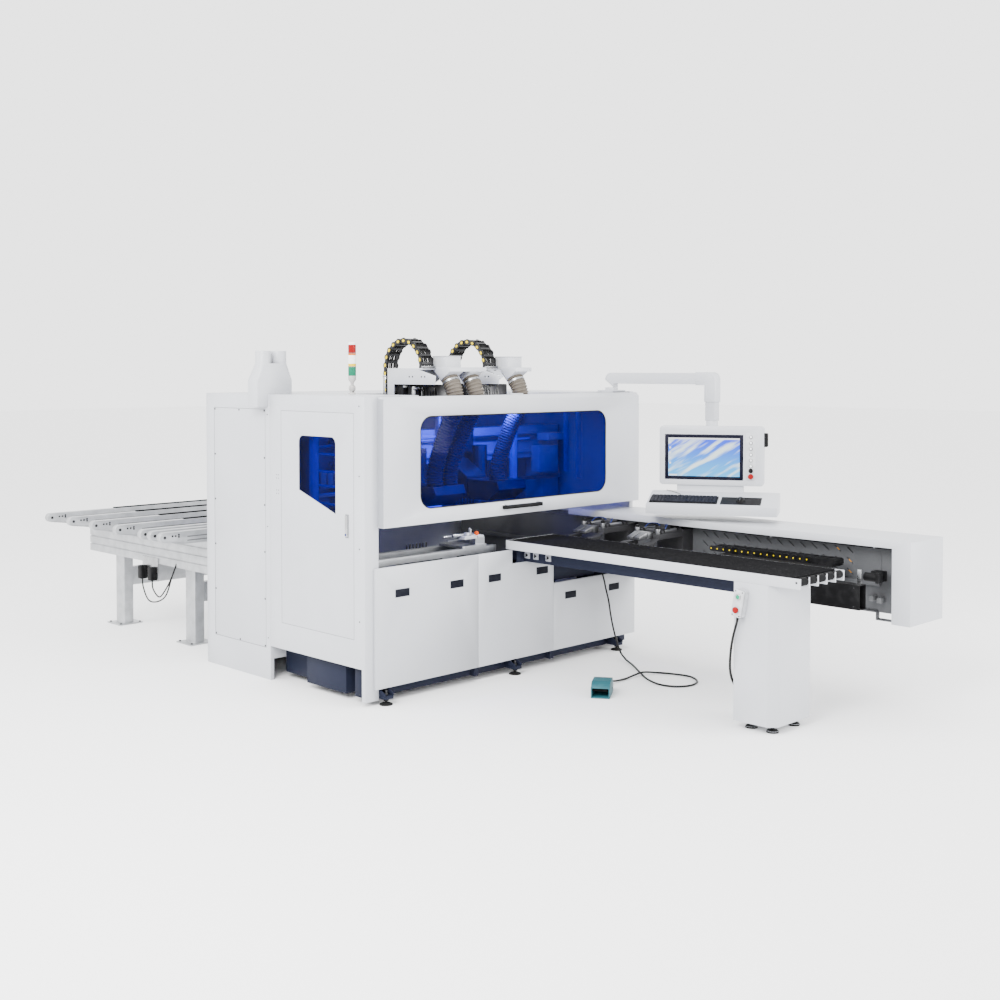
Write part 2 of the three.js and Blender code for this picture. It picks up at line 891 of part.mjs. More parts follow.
function tableLeg() {
  const top = table.top - table.edge - gap;
  const shell = prism("z", legOutline(0), leg.bottom, top);
  const inside = prism("z", legOutline(leg.wall), leg.bottom + leg.wall, top - leg.wall);
  const middleX = (leg.left + leg.right) / 2;
  const middleY = (leg.front + leg.back) / 2;
  const cableHole = rod("z", leg.cableHole, [middleX, middleY], leg.bottom - overrun,
    leg.bottom + leg.wall + overrun);
  const feet = [];
  for (const x of [leg.left + leg.footInset + leg.chamfer / 2, leg.right - leg.footInset]) {
    for (const y of [leg.front + leg.footInset, leg.back - leg.footInset]) {
      feet.push(rod("z", leg.padRadius, [x, y], 0, foot.padHeight));
      feet.push(rod("z", foot.stud, [x, y], foot.padHeight / 2, leg.bottom + leg.wall / 2, 8));
    }
  }
  return join(cut(shell, inside, cableHole), ...feet);
}

addPiece("table_edge", tableEdge(), "white");
addPiece("table_top", tableTop(), "black");
addPiece("end_rollers", endRollers(), "black");
addPiece("table_leg", tableLeg(), "white");

// The start and stop box hangs tilted on the leg, and its lead goes in behind the leg.
const box = { width: 70, height: 170, depth: 55, corner: 12, z: 790, y: -2035, tilt: 0.17 };
const button = { radius: 13, guard: 17, high: 42, low: -40, travel: 6 };
const mushroom = { radius: 20, stem: 9, stemLength: 10, capLength: 13 };
const capShare = 0.7;
const stemShare = 0.4;
const lead = { radius: 5, clip: 9 };
const leadRoute = [
  [1297, -2019, 700],
  [1297, -2008, 650],
  [1297, -1985, 570],
  [1299, -1968, 480],
  [1314, -1953, 370],
  [1345, -1946, 300],
  [1374, -1944, 262],
  [1388, -1952, 242],
  [1390, -1969, 238],
];

const boxGroup = new THREE.Group();
boxGroup.position.set(leg.left - gap, box.y, box.z);
boxGroup.rotation.x = box.tilt;
boxGroup.updateMatrix();
machine.add(boxGroup);

function controlBox() {
  const half = box.width / 2;
  const tall = box.height / 2;
  const body = prism("x", roundedOutline(-half, -tall, half, tall, box.corner), -box.depth, 0);
  const ring = rod("x", button.guard, [0, button.high], -box.depth - button.travel, -box.depth + overrun);
  const well = rod("x", button.radius + gap, [0, button.high], -box.depth - overrun * 2,
    -box.depth + button.travel * 2);
  const stopWell = rod("x", mushroom.stem + gap, [0, button.low], -box.depth - overrun,
    -box.depth + mushroom.stemLength);
  const toBox = boxGroup.matrix.clone().invert();
  const start = new THREE.Vector3(-box.depth / 2, 0, -tall + overrun);
  const hang = leadRoute.map((point) => new THREE.Vector3(...point).applyMatrix4(toBox));
  const route = new THREE.CatmullRomCurve3([start, ...hang], false, "centripetal");
  const circle = new THREE.Shape().absarc(0, 0, lead.radius, 0, Math.PI * 2, false);
  const cable = toSolid(
    new THREE.ExtrudeGeometry(circle, { steps: 16, curveSegments: 4, extrudePath: route }),
  );
  const gland = rod("z", lead.clip, [-box.depth / 2, 0], -tall - lead.clip, -tall + overrun, 8);
  return join(cut(join(body, ring), well, stopWell), cable, gland);
}

function startButton() {
  return rod("x", button.radius, [0, button.high], -box.depth - button.travel - gap,
    -box.depth + button.travel);
}

function stopButton() {
  const at = [0, button.low];
  const capFace = -box.depth - mushroom.stemLength * capShare;
  return join(
    rod("x", mushroom.radius, at, capFace - mushroom.capLength, capFace),
    rod("x", mushroom.stem, at, capFace - overrun, -box.depth + mushroom.stemLength * stemShare),
  );
}

addPiece("control_box", controlBox(), "white", boxGroup);
addPiece("start_button", startButton(), "green", boxGroup);
addPiece("stop_button", stopButton(), "red", boxGroup);

// The gripper beam, its cover and the cable tray
const slot = { height: 38, width: 10, lean: 22, pitch: 91, first: -2125, count: 14 };
const slotRows = [1013, 941, 868];
const gripperRail = { reach: 25, bottom: 795, top: 825, front: -2350, back: 1500 };
const cover = { left: enclosure.width - fromRight.cover, front: -2630, back: 300, top: 1120, lip: 50, bottom: 580, cap: 130 };
const coverRibs = { thickness: 10, places: [-2300, -1500, -700, 60] };
const trunk = {
  left: enclosure.width - fromRight.trunk,
  right: enclosure.width - fromRight.trunkEnd,
  bottom: 702,
  top: 860,
  front: -2440,
  back: -60,
  arm: 60,
};
const trunkArms = [-2200, -1400, -500];
const trayChain = {
  left: enclosure.width - fromRight.trayChain,
  right: enclosure.width - fromRight.trayChainEnd,
  front: -2142,
  top: 974,
  link: 58,
  height: 46,
  links: 15,
};

function beamBody() {
  const { left, right, bottom, top, front, back, wall } = gripperBeam;
  const inside = block([left + wall, front - overrun, bottom + wall], [right - wall, back + overrun, top - wall]);
  let beam = cut(block([left, front, bottom], [right, back, top]), inside);
  for (const z of slotRows) {
    for (let i = 0; i < slot.count; i += 1) {
      const y = slot.first + i * slot.pitch;
      const outline = outlineOf([
        [y - slot.lean, z - slot.height / 2],
        [y - slot.lean + slot.width, z - slot.height / 2],
        [y + slot.lean + slot.width, z + slot.height / 2],
        [y + slot.lean, z + slot.height / 2],
      ]);
      beam = beam.subtract(prism("x", outline, left - overrun, left + wall + overrun));
    }
  }
  const rail = block(
    [left - gripperRail.reach, gripperRail.front, gripperRail.bottom],
    [left + wall / 2, gripperRail.back, gripperRail.top],
  );
  return join(beam, rail);
}

function beamCover() {
  const { left, front, back, top, lip, bottom, cap } = cover;
  const right = enclosure.width;
  const outerBack = -panels.depth - gap;
  const parts = [
    block([left, front, top - sheet], [right, outerBack, top]),
    block([left, outerBack - overrun, top - sheet], [right - fold - gap, back, top]),
    block([left, front, top - lip], [left + sheet, back, top]),
    block([right - sheet, front, bottom], [right, outerBack, top]),
    block([left, front, bottom], [right, front + sheet, top]),
    block([left, front, bottom], [left + sheet, front + cap, top]),
  ];
  for (const y of coverRibs.places) {
    parts.push(
      block(
        [left + sheet / 2, y, top - lip],
        [gripperBeam.left + fold, y + coverRibs.thickness, top - sheet / 2],
      ),
      block(
        [gripperBeam.left, y, gripperBeam.top + gap],
        [gripperBeam.right, y + coverRibs.thickness, top - sheet / 2],
      ),
    );
  }
  return join(...parts);
}

// A closed trunk under the beam's side carries the shelf of the drag chain, drawn as a stepped band.
function cableTrayWithChain() {
  const { left, right, bottom, top, front, back, arm } = trunk;
  const parts = [
    cut(
      block([left, front, bottom], [right, back, top]),
      block([left + sheet, front - overrun, bottom + sheet], [right - sheet, back + overrun, top - sheet]),
    ),
  ];
  for (const y of trunkArms) {
    parts.push(block([right - sheet, y, bottom], [gripperBeam.left - gap, y + arm, bottom + sheet * 2]));
  }
  const start = trayChain.front;
  const end = start + trayChain.link * trayChain.links;
  const low = trayChain.top - trayChain.height;
  parts.push(
    block([right - sheet, start, top - overrun], [right, end, low]),
    block([right - sheet, start, low - sheet], [trayChain.right, end, low + sheet / 2]),
  );
  for (let i = 0; i < trayChain.links; i += 1) {
    const y = start + i * trayChain.link;
    const waist = trayChain.height / 5;
    const next = y + trayChain.link;
    const outline = outlineOf([
      [y - waist / 2, low + waist],
      [y + waist, low],
      [next - waist, low],
      [next + waist / 2, low + waist],
      [next + waist / 2, trayChain.top - waist],
      [next - waist, trayChain.top],
      [y + waist, trayChain.top],
      [y - waist / 2, trayChain.top - waist],
    ]);
    parts.push(prism("x", outline, trayChain.left, trayChain.right));
  }
  return join(...parts);
}

// A gripper rides on the beam's rail and holds the panel's edge between two fixed and two moving fingers.
const gripper = {
  length: 240,
  carriageLeft: enclosure.width - fromRight.carriage,
  carriageBottom: 788,
  carriageTop: 1040,
  armLeft: enclosure.width - fromRight.gripperArm,
  armBottom: 992,
  armTop: 1030,
  fingerLeft: enclosure.width - fromRight.finger,
  fingerBottom: 950,
  fingerTop: 974,
  fingerWidth: 52,
  cylinder: 17,
  jawBottom: 1000,
  jawTop: 1046,
};
const gripperPlaces = { rear: -180, front: -700 };

function gripperBody() {
  const g = gripper;
  const half = g.length / 2;
  const carriageRight = gripperBeam.left - gap;
  const groove = block(
    [gripperBeam.left - gripperRail.reach - gap, -half - overrun, gripperRail.bottom - gap],
    [carriageRight + overrun, half + overrun, gripperRail.top + gap],
  );
  const parts = [
    cut(block([g.carriageLeft, -half, g.carriageBottom], [carriageRight, half, g.carriageTop]), groove),
    block([g.armLeft, -half, g.armBottom], [g.carriageLeft + overrun, half, g.armTop]),
  ];
  for (const side of [-1, 1]) {
    const middle = (side * (g.length - g.fingerWidth)) / 2;
    const low = middle - g.fingerWidth / 2;
    const high = middle + g.fingerWidth / 2;
    const outline = outlineOf([
      [g.armLeft + g.fingerWidth, g.armBottom + overrun],
      [g.armLeft, g.armBottom + overrun],
      [trunk.left - g.cylinder, g.fingerTop + overrun / 2],
      [g.fingerLeft, g.fingerTop],
      [g.fingerLeft, g.fingerBottom + overrun],
      [g.fingerLeft + overrun, g.fingerBottom],
      [trunk.left - g.cylinder, g.fingerBottom],
      [trunk.left + g.cylinder, g.armBottom - overrun / 2],
      [g.armLeft + g.fingerWidth, g.armBottom - overrun / 2],
    ]);
    parts.push(prism("y", outline, low, high));
    parts.push(rod("x", g.cylinder, [middle, g.armTop + g.cylinder / 2],
      g.armLeft + g.fingerWidth, g.carriageLeft, 12));
  }
  return join(...parts);
}

function gripperJaw() {
  const g = gripper;
  const half = g.length / 2;
  const right = g.armLeft - gap;
  const parts = [
    block([right - g.fingerWidth, -half + g.fingerWidth, g.jawBottom], [right, half - g.fingerWidth, g.jawTop]),
  ];
  for (const side of [-1, 1]) {
    const middle = (side * (g.length - g.fingerWidth * 3.4)) / 2;
    const outline = outlineOf([
      [g.fingerLeft, g.jawBottom],
      [right, g.jawBottom],
      [right, g.jawTop],
      [right - g.fingerWidth, g.jawTop],
      [g.fingerLeft, g.jawBottom + g.cylinder],
    ]);
    parts.push(prism("y", outline, middle - g.fingerWidth / 2, middle + g.fingerWidth / 2));
  }
  return join(...parts);
}

addPiece("gripper_beam", beamBody(), "grey");
addPiece("beam_cover", beamCover(), "white");
addPiece("beam_cable_tray", cableTrayWithChain(), "black");
const gripperSolid = gripperBody();
const jawSolid = gripperJaw();
for (const [place, y] of Object.entries(gripperPlaces)) {
  addPiece("gripper_" + place, gripperSolid, "grey").position.set(0, y, 0);
  addPiece("gripper_jaw_" + place, jawSolid, "silver").position.set(0, y, 0);
}

// The gantry: a portal over the panel's way, with two guide rails on its front
const gantry = {
  front: 760,
  back: 960,
  bottom: enclosure.height - drop.gantryBottom,
  top: enclosure.height - drop.gantryTop,
  left: 140,
  right: enclosure.width - fromRight.gantry,
  legLeft: 150,
  legRight: 190,
};
const guide = { reach: 25, height: 22, rows: drop.guides.map((down) => enclosure.height - down) };

function gantryBeam() {
  const { front, back, bottom, top, left, right } = gantry;
  const parts = [
    block([left, front, bottom], [right, back, top]),
    block([left, front, base.top + gap], [left + gantry.legLeft, back, bottom + overrun]),
    block([right - gantry.legRight, front, gripperBeam.top + gap], [right, back, bottom + overrun]),
  ];
  for (const z of guide.rows) {
    parts.push(
      block([left + gantry.legLeft, front - guide.reach, z], [right - gantry.legRight, front + overrun,
        z + guide.height]),
    );
  }
  return join(...parts);
}

// A head's saddle runs along the gantry and stands up through the roof with its top shelf and gusset.
const saddle = {
  half: 185,
  back: 755,
  front: 715,
  bottom: enclosure.height - drop.saddle,
  notchBottom: enclosure.height - drop.saddleNotch,
  notchRight: -40,
  notchFront: 575,
  topPlate: 12,
  shelfTop: enclosure.height + rise.shelf,
  shelfFront: 205,
  plate: 8,
  plateFront: 60,
  plateKnee: 280,
  plateLeg: 70,
  plateBottom: enclosure.height + rise.sidePlate,
  plateSlope: 60,
  legBottom: enclosure.height - drop.saddlePlate,
  ribHalf: 6,
};
const chain = {
  offset: -110,
  width: 112,
  plate: 9,
  height: 46,
  farY: 627,
  nearY: 237,
  farBottom: enclosure.height - drop.chainEnd,
  archZ: enclosure.height + rise.chainArch,
  links: 15,
};
const headPlaces = { left: headsMiddle - heads.half, right: headsMiddle + heads.half };

// The chain's far leg passes through the open corner between the plates.
function headSaddle() {
  const s = saddle;
  const shelfBottom = s.shelfTop - s.topPlate;
  const slide = block([-s.half, s.front, s.bottom], [s.half, s.back, s.notchBottom]);
  const upright = block([s.notchRight, s.front, s.notchBottom - overrun], [s.half, s.back, s.shelfTop]);
  const grooves = guide.rows.map((z) =>
    block(
      [-s.half - overrun, gantry.front - guide.reach - gap, z - gap],
      [s.half + overrun, s.back + overrun, z + guide.height + gap],
    ),
  );
  const shelf = join(
    block([s.notchRight, s.shelfFront, shelfBottom], [s.half, s.back, s.shelfTop]),
    block([-s.half, s.shelfFront, shelfBottom], [s.half, s.notchFront, s.shelfTop]),
  );
  const sidePlate = prism(
    "x",
    outlineOf([
      [s.notchFront, s.legBottom],
      [s.notchFront, s.shelfTop],
      [s.plateKnee, s.shelfTop],
      [s.plateFront, s.plateBottom + s.plateSlope],
      [s.plateFront + s.plate, s.plateBottom],
      [s.notchFront - s.plateLeg, s.plateBottom],
      [s.notchFront - s.plateLeg, s.legBottom],
    ]),
    -s.half,
    -s.half + s.plate,
  );
  const rib = prism(
    "x",
    outlineOf([
      [s.front + overrun, shelfBottom + overrun / 2],
      [s.plateKnee, shelfBottom + overrun / 2],
      [s.front + overrun, s.notchBottom],
    ]),
    s.half - s.ribHalf * 2,
    s.half,
  );
  return join(cut(slide, ...grooves), upright, shelf, sidePlate, rib);
}

// The energy chain: a leg and a half round of equal closed links, each second link narrower.
function chainCurve() {
  const radius = (chain.farY - chain.nearY) / 2;
  const middleY = (chain.farY + chain.nearY) / 2;
  const rise = chain.archZ - chain.farBottom;
  const arc = Math.PI * radius;
  const fall = chain.archZ - saddle.shelfTop - gap;
  return {
    length: rise + arc + fall,
    at(distance) {
      if (distance < rise) return { y: chain.farY, z: chain.farBottom + distance, angle: Math.PI / 2 };
      const turn = Math.min((distance - rise) / radius, Math.PI);
      const past = Math.max(distance - rise - arc, 0);
      return {
        y: middleY + radius * Math.cos(turn),
        z: chain.archZ + radius * Math.sin(turn) - past,
        angle: Math.PI / 2 + turn,
      };
    },
  };
}

function chainPart(outline, from, to, pose) {
  const geometry = new THREE.ExtrudeGeometry(outline, { depth: to - from, bevelEnabled: false });
  const turn = new THREE.Matrix4().makeBasis(
    new THREE.Vector3(0, Math.cos(pose.angle), Math.sin(pose.angle)),
    new THREE.Vector3(0, -Math.sin(pose.angle), Math.cos(pose.angle)),
    new THREE.Vector3(1, 0, 0),
  );
  turn.setPosition(from, pose.y, pose.z);
  return toSolid(geometry.applyMatrix4(turn));
}

function energyChain() {
  const curve = chainCurve();
  const halfHeight = chain.height / 2;
  const pitch = (curve.length - halfHeight / 4) / chain.links;
  const reach = pitch / 2 + halfHeight / 4;
  const waist = pitch / 2 - halfHeight / 3;
  const outline = outlineOf([
    [-reach, -halfHeight / 2],
    [-waist, -halfHeight],
    [waist, -halfHeight],
    [reach, -halfHeight / 2],
    [reach, halfHeight / 2],
    [waist, halfHeight],
    [-waist, halfHeight],
    [-reach, halfHeight / 2],
  ]);
  const parts = [];
  for (let i = 0; i < chain.links; i += 1) {
    const pose = curve.at((i + 0.5) * pitch);
    const side = chain.width / 2 - (i % 2 ? chain.plate : 0);
    parts.push(chainPart(outline, -side, side, pose));
  }
  const middleY = (chain.farY + chain.nearY) / 2;
  const underShelf = block(
    [-chain.width, -chain.width, chain.farBottom],
    [chain.width, middleY, saddle.shelfTop + gap],
  );
  return cut(join(...parts), underShelf);
}

// The drill head slides up and down on the saddle with its block of bits and its router spindle.
const drillHead = {
  half: 160,
  plate: 22,
  plateTop: enclosure.height - drop.headPlate,
  bottom: enclosure.height - drop.headBottom,
  blockFront: 430,
  blockRight: 40,
  blockTop: enclosure.height - drop.headBlock,
  shoulder: 60,
  motorRadius: 58,
  motorTop: enclosure.height - drop.headMotor,
  motorX: 98,
  motorY: 560,
  hoodFront: 215,
  hoodLeft: -150,
  hoodRight: 140,
  hoodTop: enclosure.height - drop.dustHood,
};
const spindleTop = drillHead.bottom - gap;
const spindle = { collar: 38, collarHeight: 33.7, toolLength: 40, tool: 9, neck: 20 };

function drillHeadBody() {
  const d = drillHead;
  const back = saddle.front - gap;
  const plateFront = back - d.plate;
  const plate = block([-d.half, plateFront, d.bottom], [d.half, back, d.plateTop]);
  const housing = prism(
    "x",
    outlineOf([
      [plateFront + overrun, d.bottom],
      [plateFront + overrun, d.blockTop + d.shoulder * 2],
      [plateFront - d.shoulder, d.blockTop + d.shoulder * 2],
      [d.blockFront, d.blockTop],
      [d.blockFront, d.bottom],
    ]),
    -d.half,
    d.blockRight,
  );
  const motor = rod("z", d.motorRadius, [d.motorX, d.motorY], d.bottom, d.motorTop);
  const clamp = block(
    [d.motorX - d.motorRadius / 2, d.motorY, d.bottom + d.shoulder],
    [d.motorX + d.motorRadius / 2, plateFront + overrun, d.motorTop - d.shoulder],
  );
  const dustHood = prism(
    "x",
    outlineOf([
      [d.blockFront + overrun, d.bottom - overrun],
      [d.blockFront + overrun, d.hoodTop],
      [hoseLine.endY - hoseLine.radius - overrun, d.hoodTop],
      [d.hoodFront - d.shoulder * 2, d.hoodTop - d.shoulder],
      [d.hoodFront, d.bottom - overrun],
    ]),
    d.hoodLeft,
    d.hoodRight,
  );
  const bits = bitRow(-d.half + bit.collet, (d.blockFront + back) / 2, d.bottom, -1);
  const chainEnd = block(
    [chain.offset - chain.width / 2, chain.farY - chain.height / 2, d.plateTop - overrun],
    [chain.offset + chain.width / 2, back, chain.farBottom - chain.height / 8 - gap],
  );
  return join(plate, housing, motor, clamp, dustHood, bits, chainEnd);
}

function routerSpindle() {
  const s = spindle;
  const nose = spindleTop - s.collarHeight;
  return turned([
    [0, nose - s.toolLength],
    [s.tool, nose - s.toolLength],
    [s.tool, nose],
    [s.neck, nose],
    [s.collar, nose + s.neck],
    [s.collar, spindleTop],
    [0, spindleTop],
  ]);
}

// Dust ducts: a manifold box on each saddle's shelf, and ribbed hoses down to the head's dust hood.
const manifold = { left: -20, width: 140, front: 130, back: 270, hopperFront: 50, shoulder: 24 };
const hoseLine = { radius: 62, rib: 4, bore: 52, y: 122, endY: 190, pitch: 36, sides: 8, straight: 90 };
const hoseTops = { left: [5, 208], right: [40] };
const hoseTop = enclosure.height + rise.hoseTop;
const hoseEnd = { x: -75, z: enclosure.height - drop.hoseEnd, share: 0.45 };
const hoseLean = { angle: THREE.MathUtils.degToRad(30), y: 70, x: 10 };
const outlet = { ring: 66, thick: 5 };

function hoseAxis() {
  return new THREE.Vector3(0, -Math.sin(hoseLean.angle), -Math.cos(hoseLean.angle));
}

// A cone from the hopper's underside to the tilted ring that a hose starts at.
function outletCone(x, hopperBottom) {
  const axis = hoseAxis();
  const centre = new THREE.Vector3(x, hoseLine.y, hoseTop).addScaledVector(axis, -gap - outlet.thick / 2);
  const turn = new THREE.Quaternion().setFromUnitVectors(new THREE.Vector3(0, 1, 0), axis);
  const ring = toSolid(
    new THREE.CylinderGeometry(outlet.ring, outlet.ring, outlet.thick, roundSides)
      .applyQuaternion(turn)
      .translate(...centre),
  );
  const collar = block(
    [x - outlet.ring, manifold.hopperFront, hopperBottom],
    [x + outlet.ring, saddle.shelfFront - gap, hopperBottom + overrun],
  );
  return wasm.Manifold.hull([ring, collar]);
}

function manifoldBox(tops) {
  const m = manifold;
  const top = enclosure.height + rise.manifold;
  const left = Math.min(m.left, tops[0] - outlet.ring);
  const right = Math.max(m.left + m.width, tops[tops.length - 1] + outlet.ring) + m.shoulder;
  const bottom = saddle.shelfTop + gap;
  const hopperBottom = bottom - m.shoulder;
  const upper = block([m.left, m.front, bottom - overrun / 2], [m.left + m.width, m.back, top]);
  const clear = block(
    [m.left - overrun, saddle.shelfFront - gap, hopperBottom - overrun],
    [m.left + m.width + overrun, m.back + overrun, bottom],
  );
  const hopper = block([left, m.hopperFront, hopperBottom], [right, saddle.shelfFront - gap, bottom + overrun]);
  const cones = tops.map((x) => outletCone(x, hopperBottom));
  return join(cut(upper, clear), hopper, ...cones);
}

function ribbedHose(points, length) {
  const curve = new THREE.CatmullRomCurve3(points.map((p) => new THREE.Vector3(...p)));
  const ribs = Math.round(curve.getLength() / hoseLine.pitch);
  const rings = ribs * 2;
  const frames = curve.computeFrenetFrames(rings);
  const positions = [];
  const ringAt = (i, radius) => {
    const centre = curve.getPointAt(i / rings);
    const first = positions.length / 3;
    for (let j = 0; j < hoseLine.sides; j += 1) {
      const angle = (j / hoseLine.sides) * Math.PI * 2;
      const point = centre
        .clone()
        .addScaledVector(frames.normals[i], radius * Math.cos(angle))
        .addScaledVector(frames.binormals[i], radius * Math.sin(angle));
      positions.push(...point);
    }
    return first;
  };
  const outer = [];
  const inner = [];
  for (let i = 0; i <= rings; i += 1) {
    outer.push(ringAt(i, hoseLine.radius - (i % 2 ? 0 : hoseLine.rib)));
    if (i % 10 === 0 || i === rings) inner.push(ringAt(i, hoseLine.bore));
  }
  const faces = [];
  const band = (from, to, flip) => {
    for (let j = 0; j < hoseLine.sides; j += 1) {
      const next = (j + 1) % hoseLine.sides;
      const quad = [from + j, from + next, to + next, to + j];
      if (flip) quad.reverse();
      faces.push(quad[0], quad[1], quad[2], quad[0], quad[2], quad[3]);
    }
  };
  for (let i = 0; i < outer.length - 1; i += 1) band(outer[i], outer[i + 1], false);
  for (let i = 0; i < inner.length - 1; i += 1) band(inner[i], inner[i + 1], true);
  band(inner[0], outer[0], false);
  band(outer[outer.length - 1], inner[inner.length - 1], false);
  const geometry = new THREE.BufferGeometry();
  geometry.setAttribute("position", new THREE.BufferAttribute(new Float32Array(positions), 3));
  geometry.setIndex(faces);
  return toSolid(geometry);
}

// A hose leans forward from its outlet, turns down, bows to the dust hood and ends straight.
function hosePoints(topX, endX) {
  const axis = hoseAxis();
  const start = new THREE.Vector3(topX, hoseLine.y, hoseTop);
  const second = start.clone().addScaledVector(axis, hoseLine.straight / 2);
  const third = start.clone().addScaledVector(axis, hoseLine.straight);
  const drop = hoseTop - hoseEnd.z;
  const middleX = topX + (endX - topX) * hoseEnd.share;
  const middleY = (hoseLean.y + hoseLine.endY) / 2;
  return [
    [...start],
    [...second],
    [...third],
    [topX + hoseLean.x, hoseLean.y, hoseTop - hoseLine.straight * 2],
    [middleX, middleY, hoseTop - drop / 2],
    [endX, hoseLine.endY, hoseEnd.z + hoseLine.straight],
    [endX, hoseLine.endY, hoseEnd.z],
  ];
}

const saddleSolid = headSaddle();
const headSolid = drillHeadBody();
const chainSolid = energyChain();
const spindleSolid = routerSpindle();
for (const [place, x] of Object.entries(headPlaces)) {
  addPiece("head_saddle_" + place, saddleSolid, "silver").position.x = x;
  addPiece("drill_head_" + place, headSolid, "grey").position.x = x;
  addPiece("energy_chain_" + place, chainSolid, "black").position.x = x + chain.offset;
  addPiece("spindle_" + place, spindleSolid, "silver").position.set(x + drillHead.motorX,
    drillHead.motorY, 0);
  addPiece("dust_manifold_" + place, manifoldBox(hoseTops[place]), "white").position.x = x;
}
const hoseJoin = { shift: 140, wallShare: 1.015, half: 9, height: 46 };
const joinReach = hoseLine.bore * hoseJoin.wallShare;
const leftHoses = join(
  ribbedHose(hosePoints(hoseTops.left[0], hoseEnd.x)),
  ribbedHose(hosePoints(hoseTops.left[1], hoseEnd.x + hoseJoin.shift)),
  block(
    [hoseEnd.x + joinReach, hoseLine.endY - hoseJoin.half, hoseEnd.z],
    [hoseEnd.x + hoseJoin.shift - joinReach, hoseLine.endY + hoseJoin.half, hoseEnd.z + hoseJoin.height],
  ),
);
addPiece("dust_hoses_left", leftHoses, "beige").position.x = headPlaces.left;
addPiece("dust_hose_right", ribbedHose(hosePoints(hoseTops.right[0], hoseEnd.x)), "beige").position.x =
  headPlaces.right;
addPiece("gantry_beam", gantryBeam(), "white");

// The dust port stands on the cabinet's top, hangs over the left wall and feeds two round pipes.
const portSetback = 15;
const port = {
  left: -90,
  right: 206,
  front: cabinet.front + portSetback,
  depth: 120,
  pipe: 56,
  pipes: [0, 132],
  slice: 2,
  wall: 4,
};
const portHeights = {
  lip: enclosure.height - drop.portLip,
  shoulder: enclosure.height + rise.portShoulder,
  neck: enclosure.height + rise.portNeck,
  top: enclosure.height + rise.portTop,
};

function portHood(inset) {
  const y = port.front + port.depth / 2;
  const radius = port.pipe - inset;
  const low = [port.left + inset, port.front + inset, portHeights.shoulder];
  const high = [port.right - inset, port.front + port.depth - inset, portHeights.shoulder + port.slice];
  const rings = port.pipes.map((x) => rod("z", radius, [x, y], portHeights.neck - port.slice, portHeights.neck));
  return wasm.Manifold.hull([block(low, high), ...rings]);
}

function dustPort() {
  const floor = enclosure.height + gap;
  const back = port.front + port.depth;
  const y = port.front + port.depth / 2;
  const wall = port.wall;
  const chest = block([port.left, port.front, floor], [port.right, back, portHeights.shoulder + port.slice]);
  const lip = block([port.left, port.front, portHeights.lip], [-gap, back, floor + overrun]);
  const tubes = port.pipes.map((x) =>
    rod("z", port.pipe, [x, y], portHeights.neck - overrun, portHeights.top),
  );
  const bores = port.pipes.map((x) =>
    rod("z", port.pipe - wall, [x, y], portHeights.neck - overrun * 2, portHeights.top + overrun),
  );
  const inside = block(
    [port.left + wall, port.front + wall, floor + wall],
    [port.right - wall, back - wall, portHeights.shoulder + port.slice / 2],
  );
  return cut(join(chest, lip, portHood(0), ...tubes), inside, portHood(wall), ...bores);
}

addPiece("dust_port", dustPort(), "white");

// The light tower folds at its knuckle.
const tower = {
  x: 420,
  y: 660,
  base: 26,
  baseHeight: 12,
  knuckle: 17,
  hinge: enclosure.height + rise.towerHinge,
  stem: 7,
  cheek: 5,
};
const lamps = {
  bottom: enclosure.height + rise.lampBottom,
  radius: 28,
  silverTop: enclosure.height + rise.lampSilver,
  top: enclosure.height + rise.lampTop,
  cap: 6,
  ring: 2,
};
const lampSeams = rise.lampSeams.map((up) => enclosure.height + up);

function towerStand() {
  const low = enclosure.height + gap;
  const parts = [rod("z", tower.base, [0, 0], low, low + tower.baseHeight)];
  for (const left of [-tower.base / 2, tower.base / 2 - tower.cheek]) {
    const right = left + tower.cheek;
    parts.push(
      block([left, -tower.knuckle, low], [right, tower.knuckle, tower.hinge]),
      rod("x", tower.knuckle, [0, tower.hinge], left, right),
    );
  }
  return join(...parts);
}

function lampStack() {
  const l = lamps;
  const groove = l.radius - l.ring;
  const profile = [
    [0, l.bottom],
    [tower.stem, l.bottom],
    [l.radius, l.bottom + l.radius],
    [l.radius, l.silverTop],
  ];
  for (const seam of [l.silverTop, ...lampSeams]) {
    profile.push([groove, seam + l.ring / 2], [groove, seam + l.ring], [l.radius, seam + l.ring * 1.5]);
    const next = [...lampSeams, l.top - l.cap].find((z) => z > seam);
    profile.push([l.radius, next]);
  }
  profile.push([l.radius - l.cap, l.top], [0, l.top]);
  const half = tower.base / 2 - tower.cheek - gap;
  return join(
    turned(profile),
    rod("x", tower.knuckle, [0, tower.hinge], -half, half),
    rod("z", tower.stem, [0, 0], tower.hinge, l.bottom + overrun, 12),
  );
}

const towerGroup = new THREE.Group();
towerGroup.position.set(tower.x, tower.y, 0);
machine.add(towerGroup);
addPiece("tower_stand", towerStand(), "grey", towerGroup);
addPiece("lamp_stack", lampStack(), "white", towerGroup);

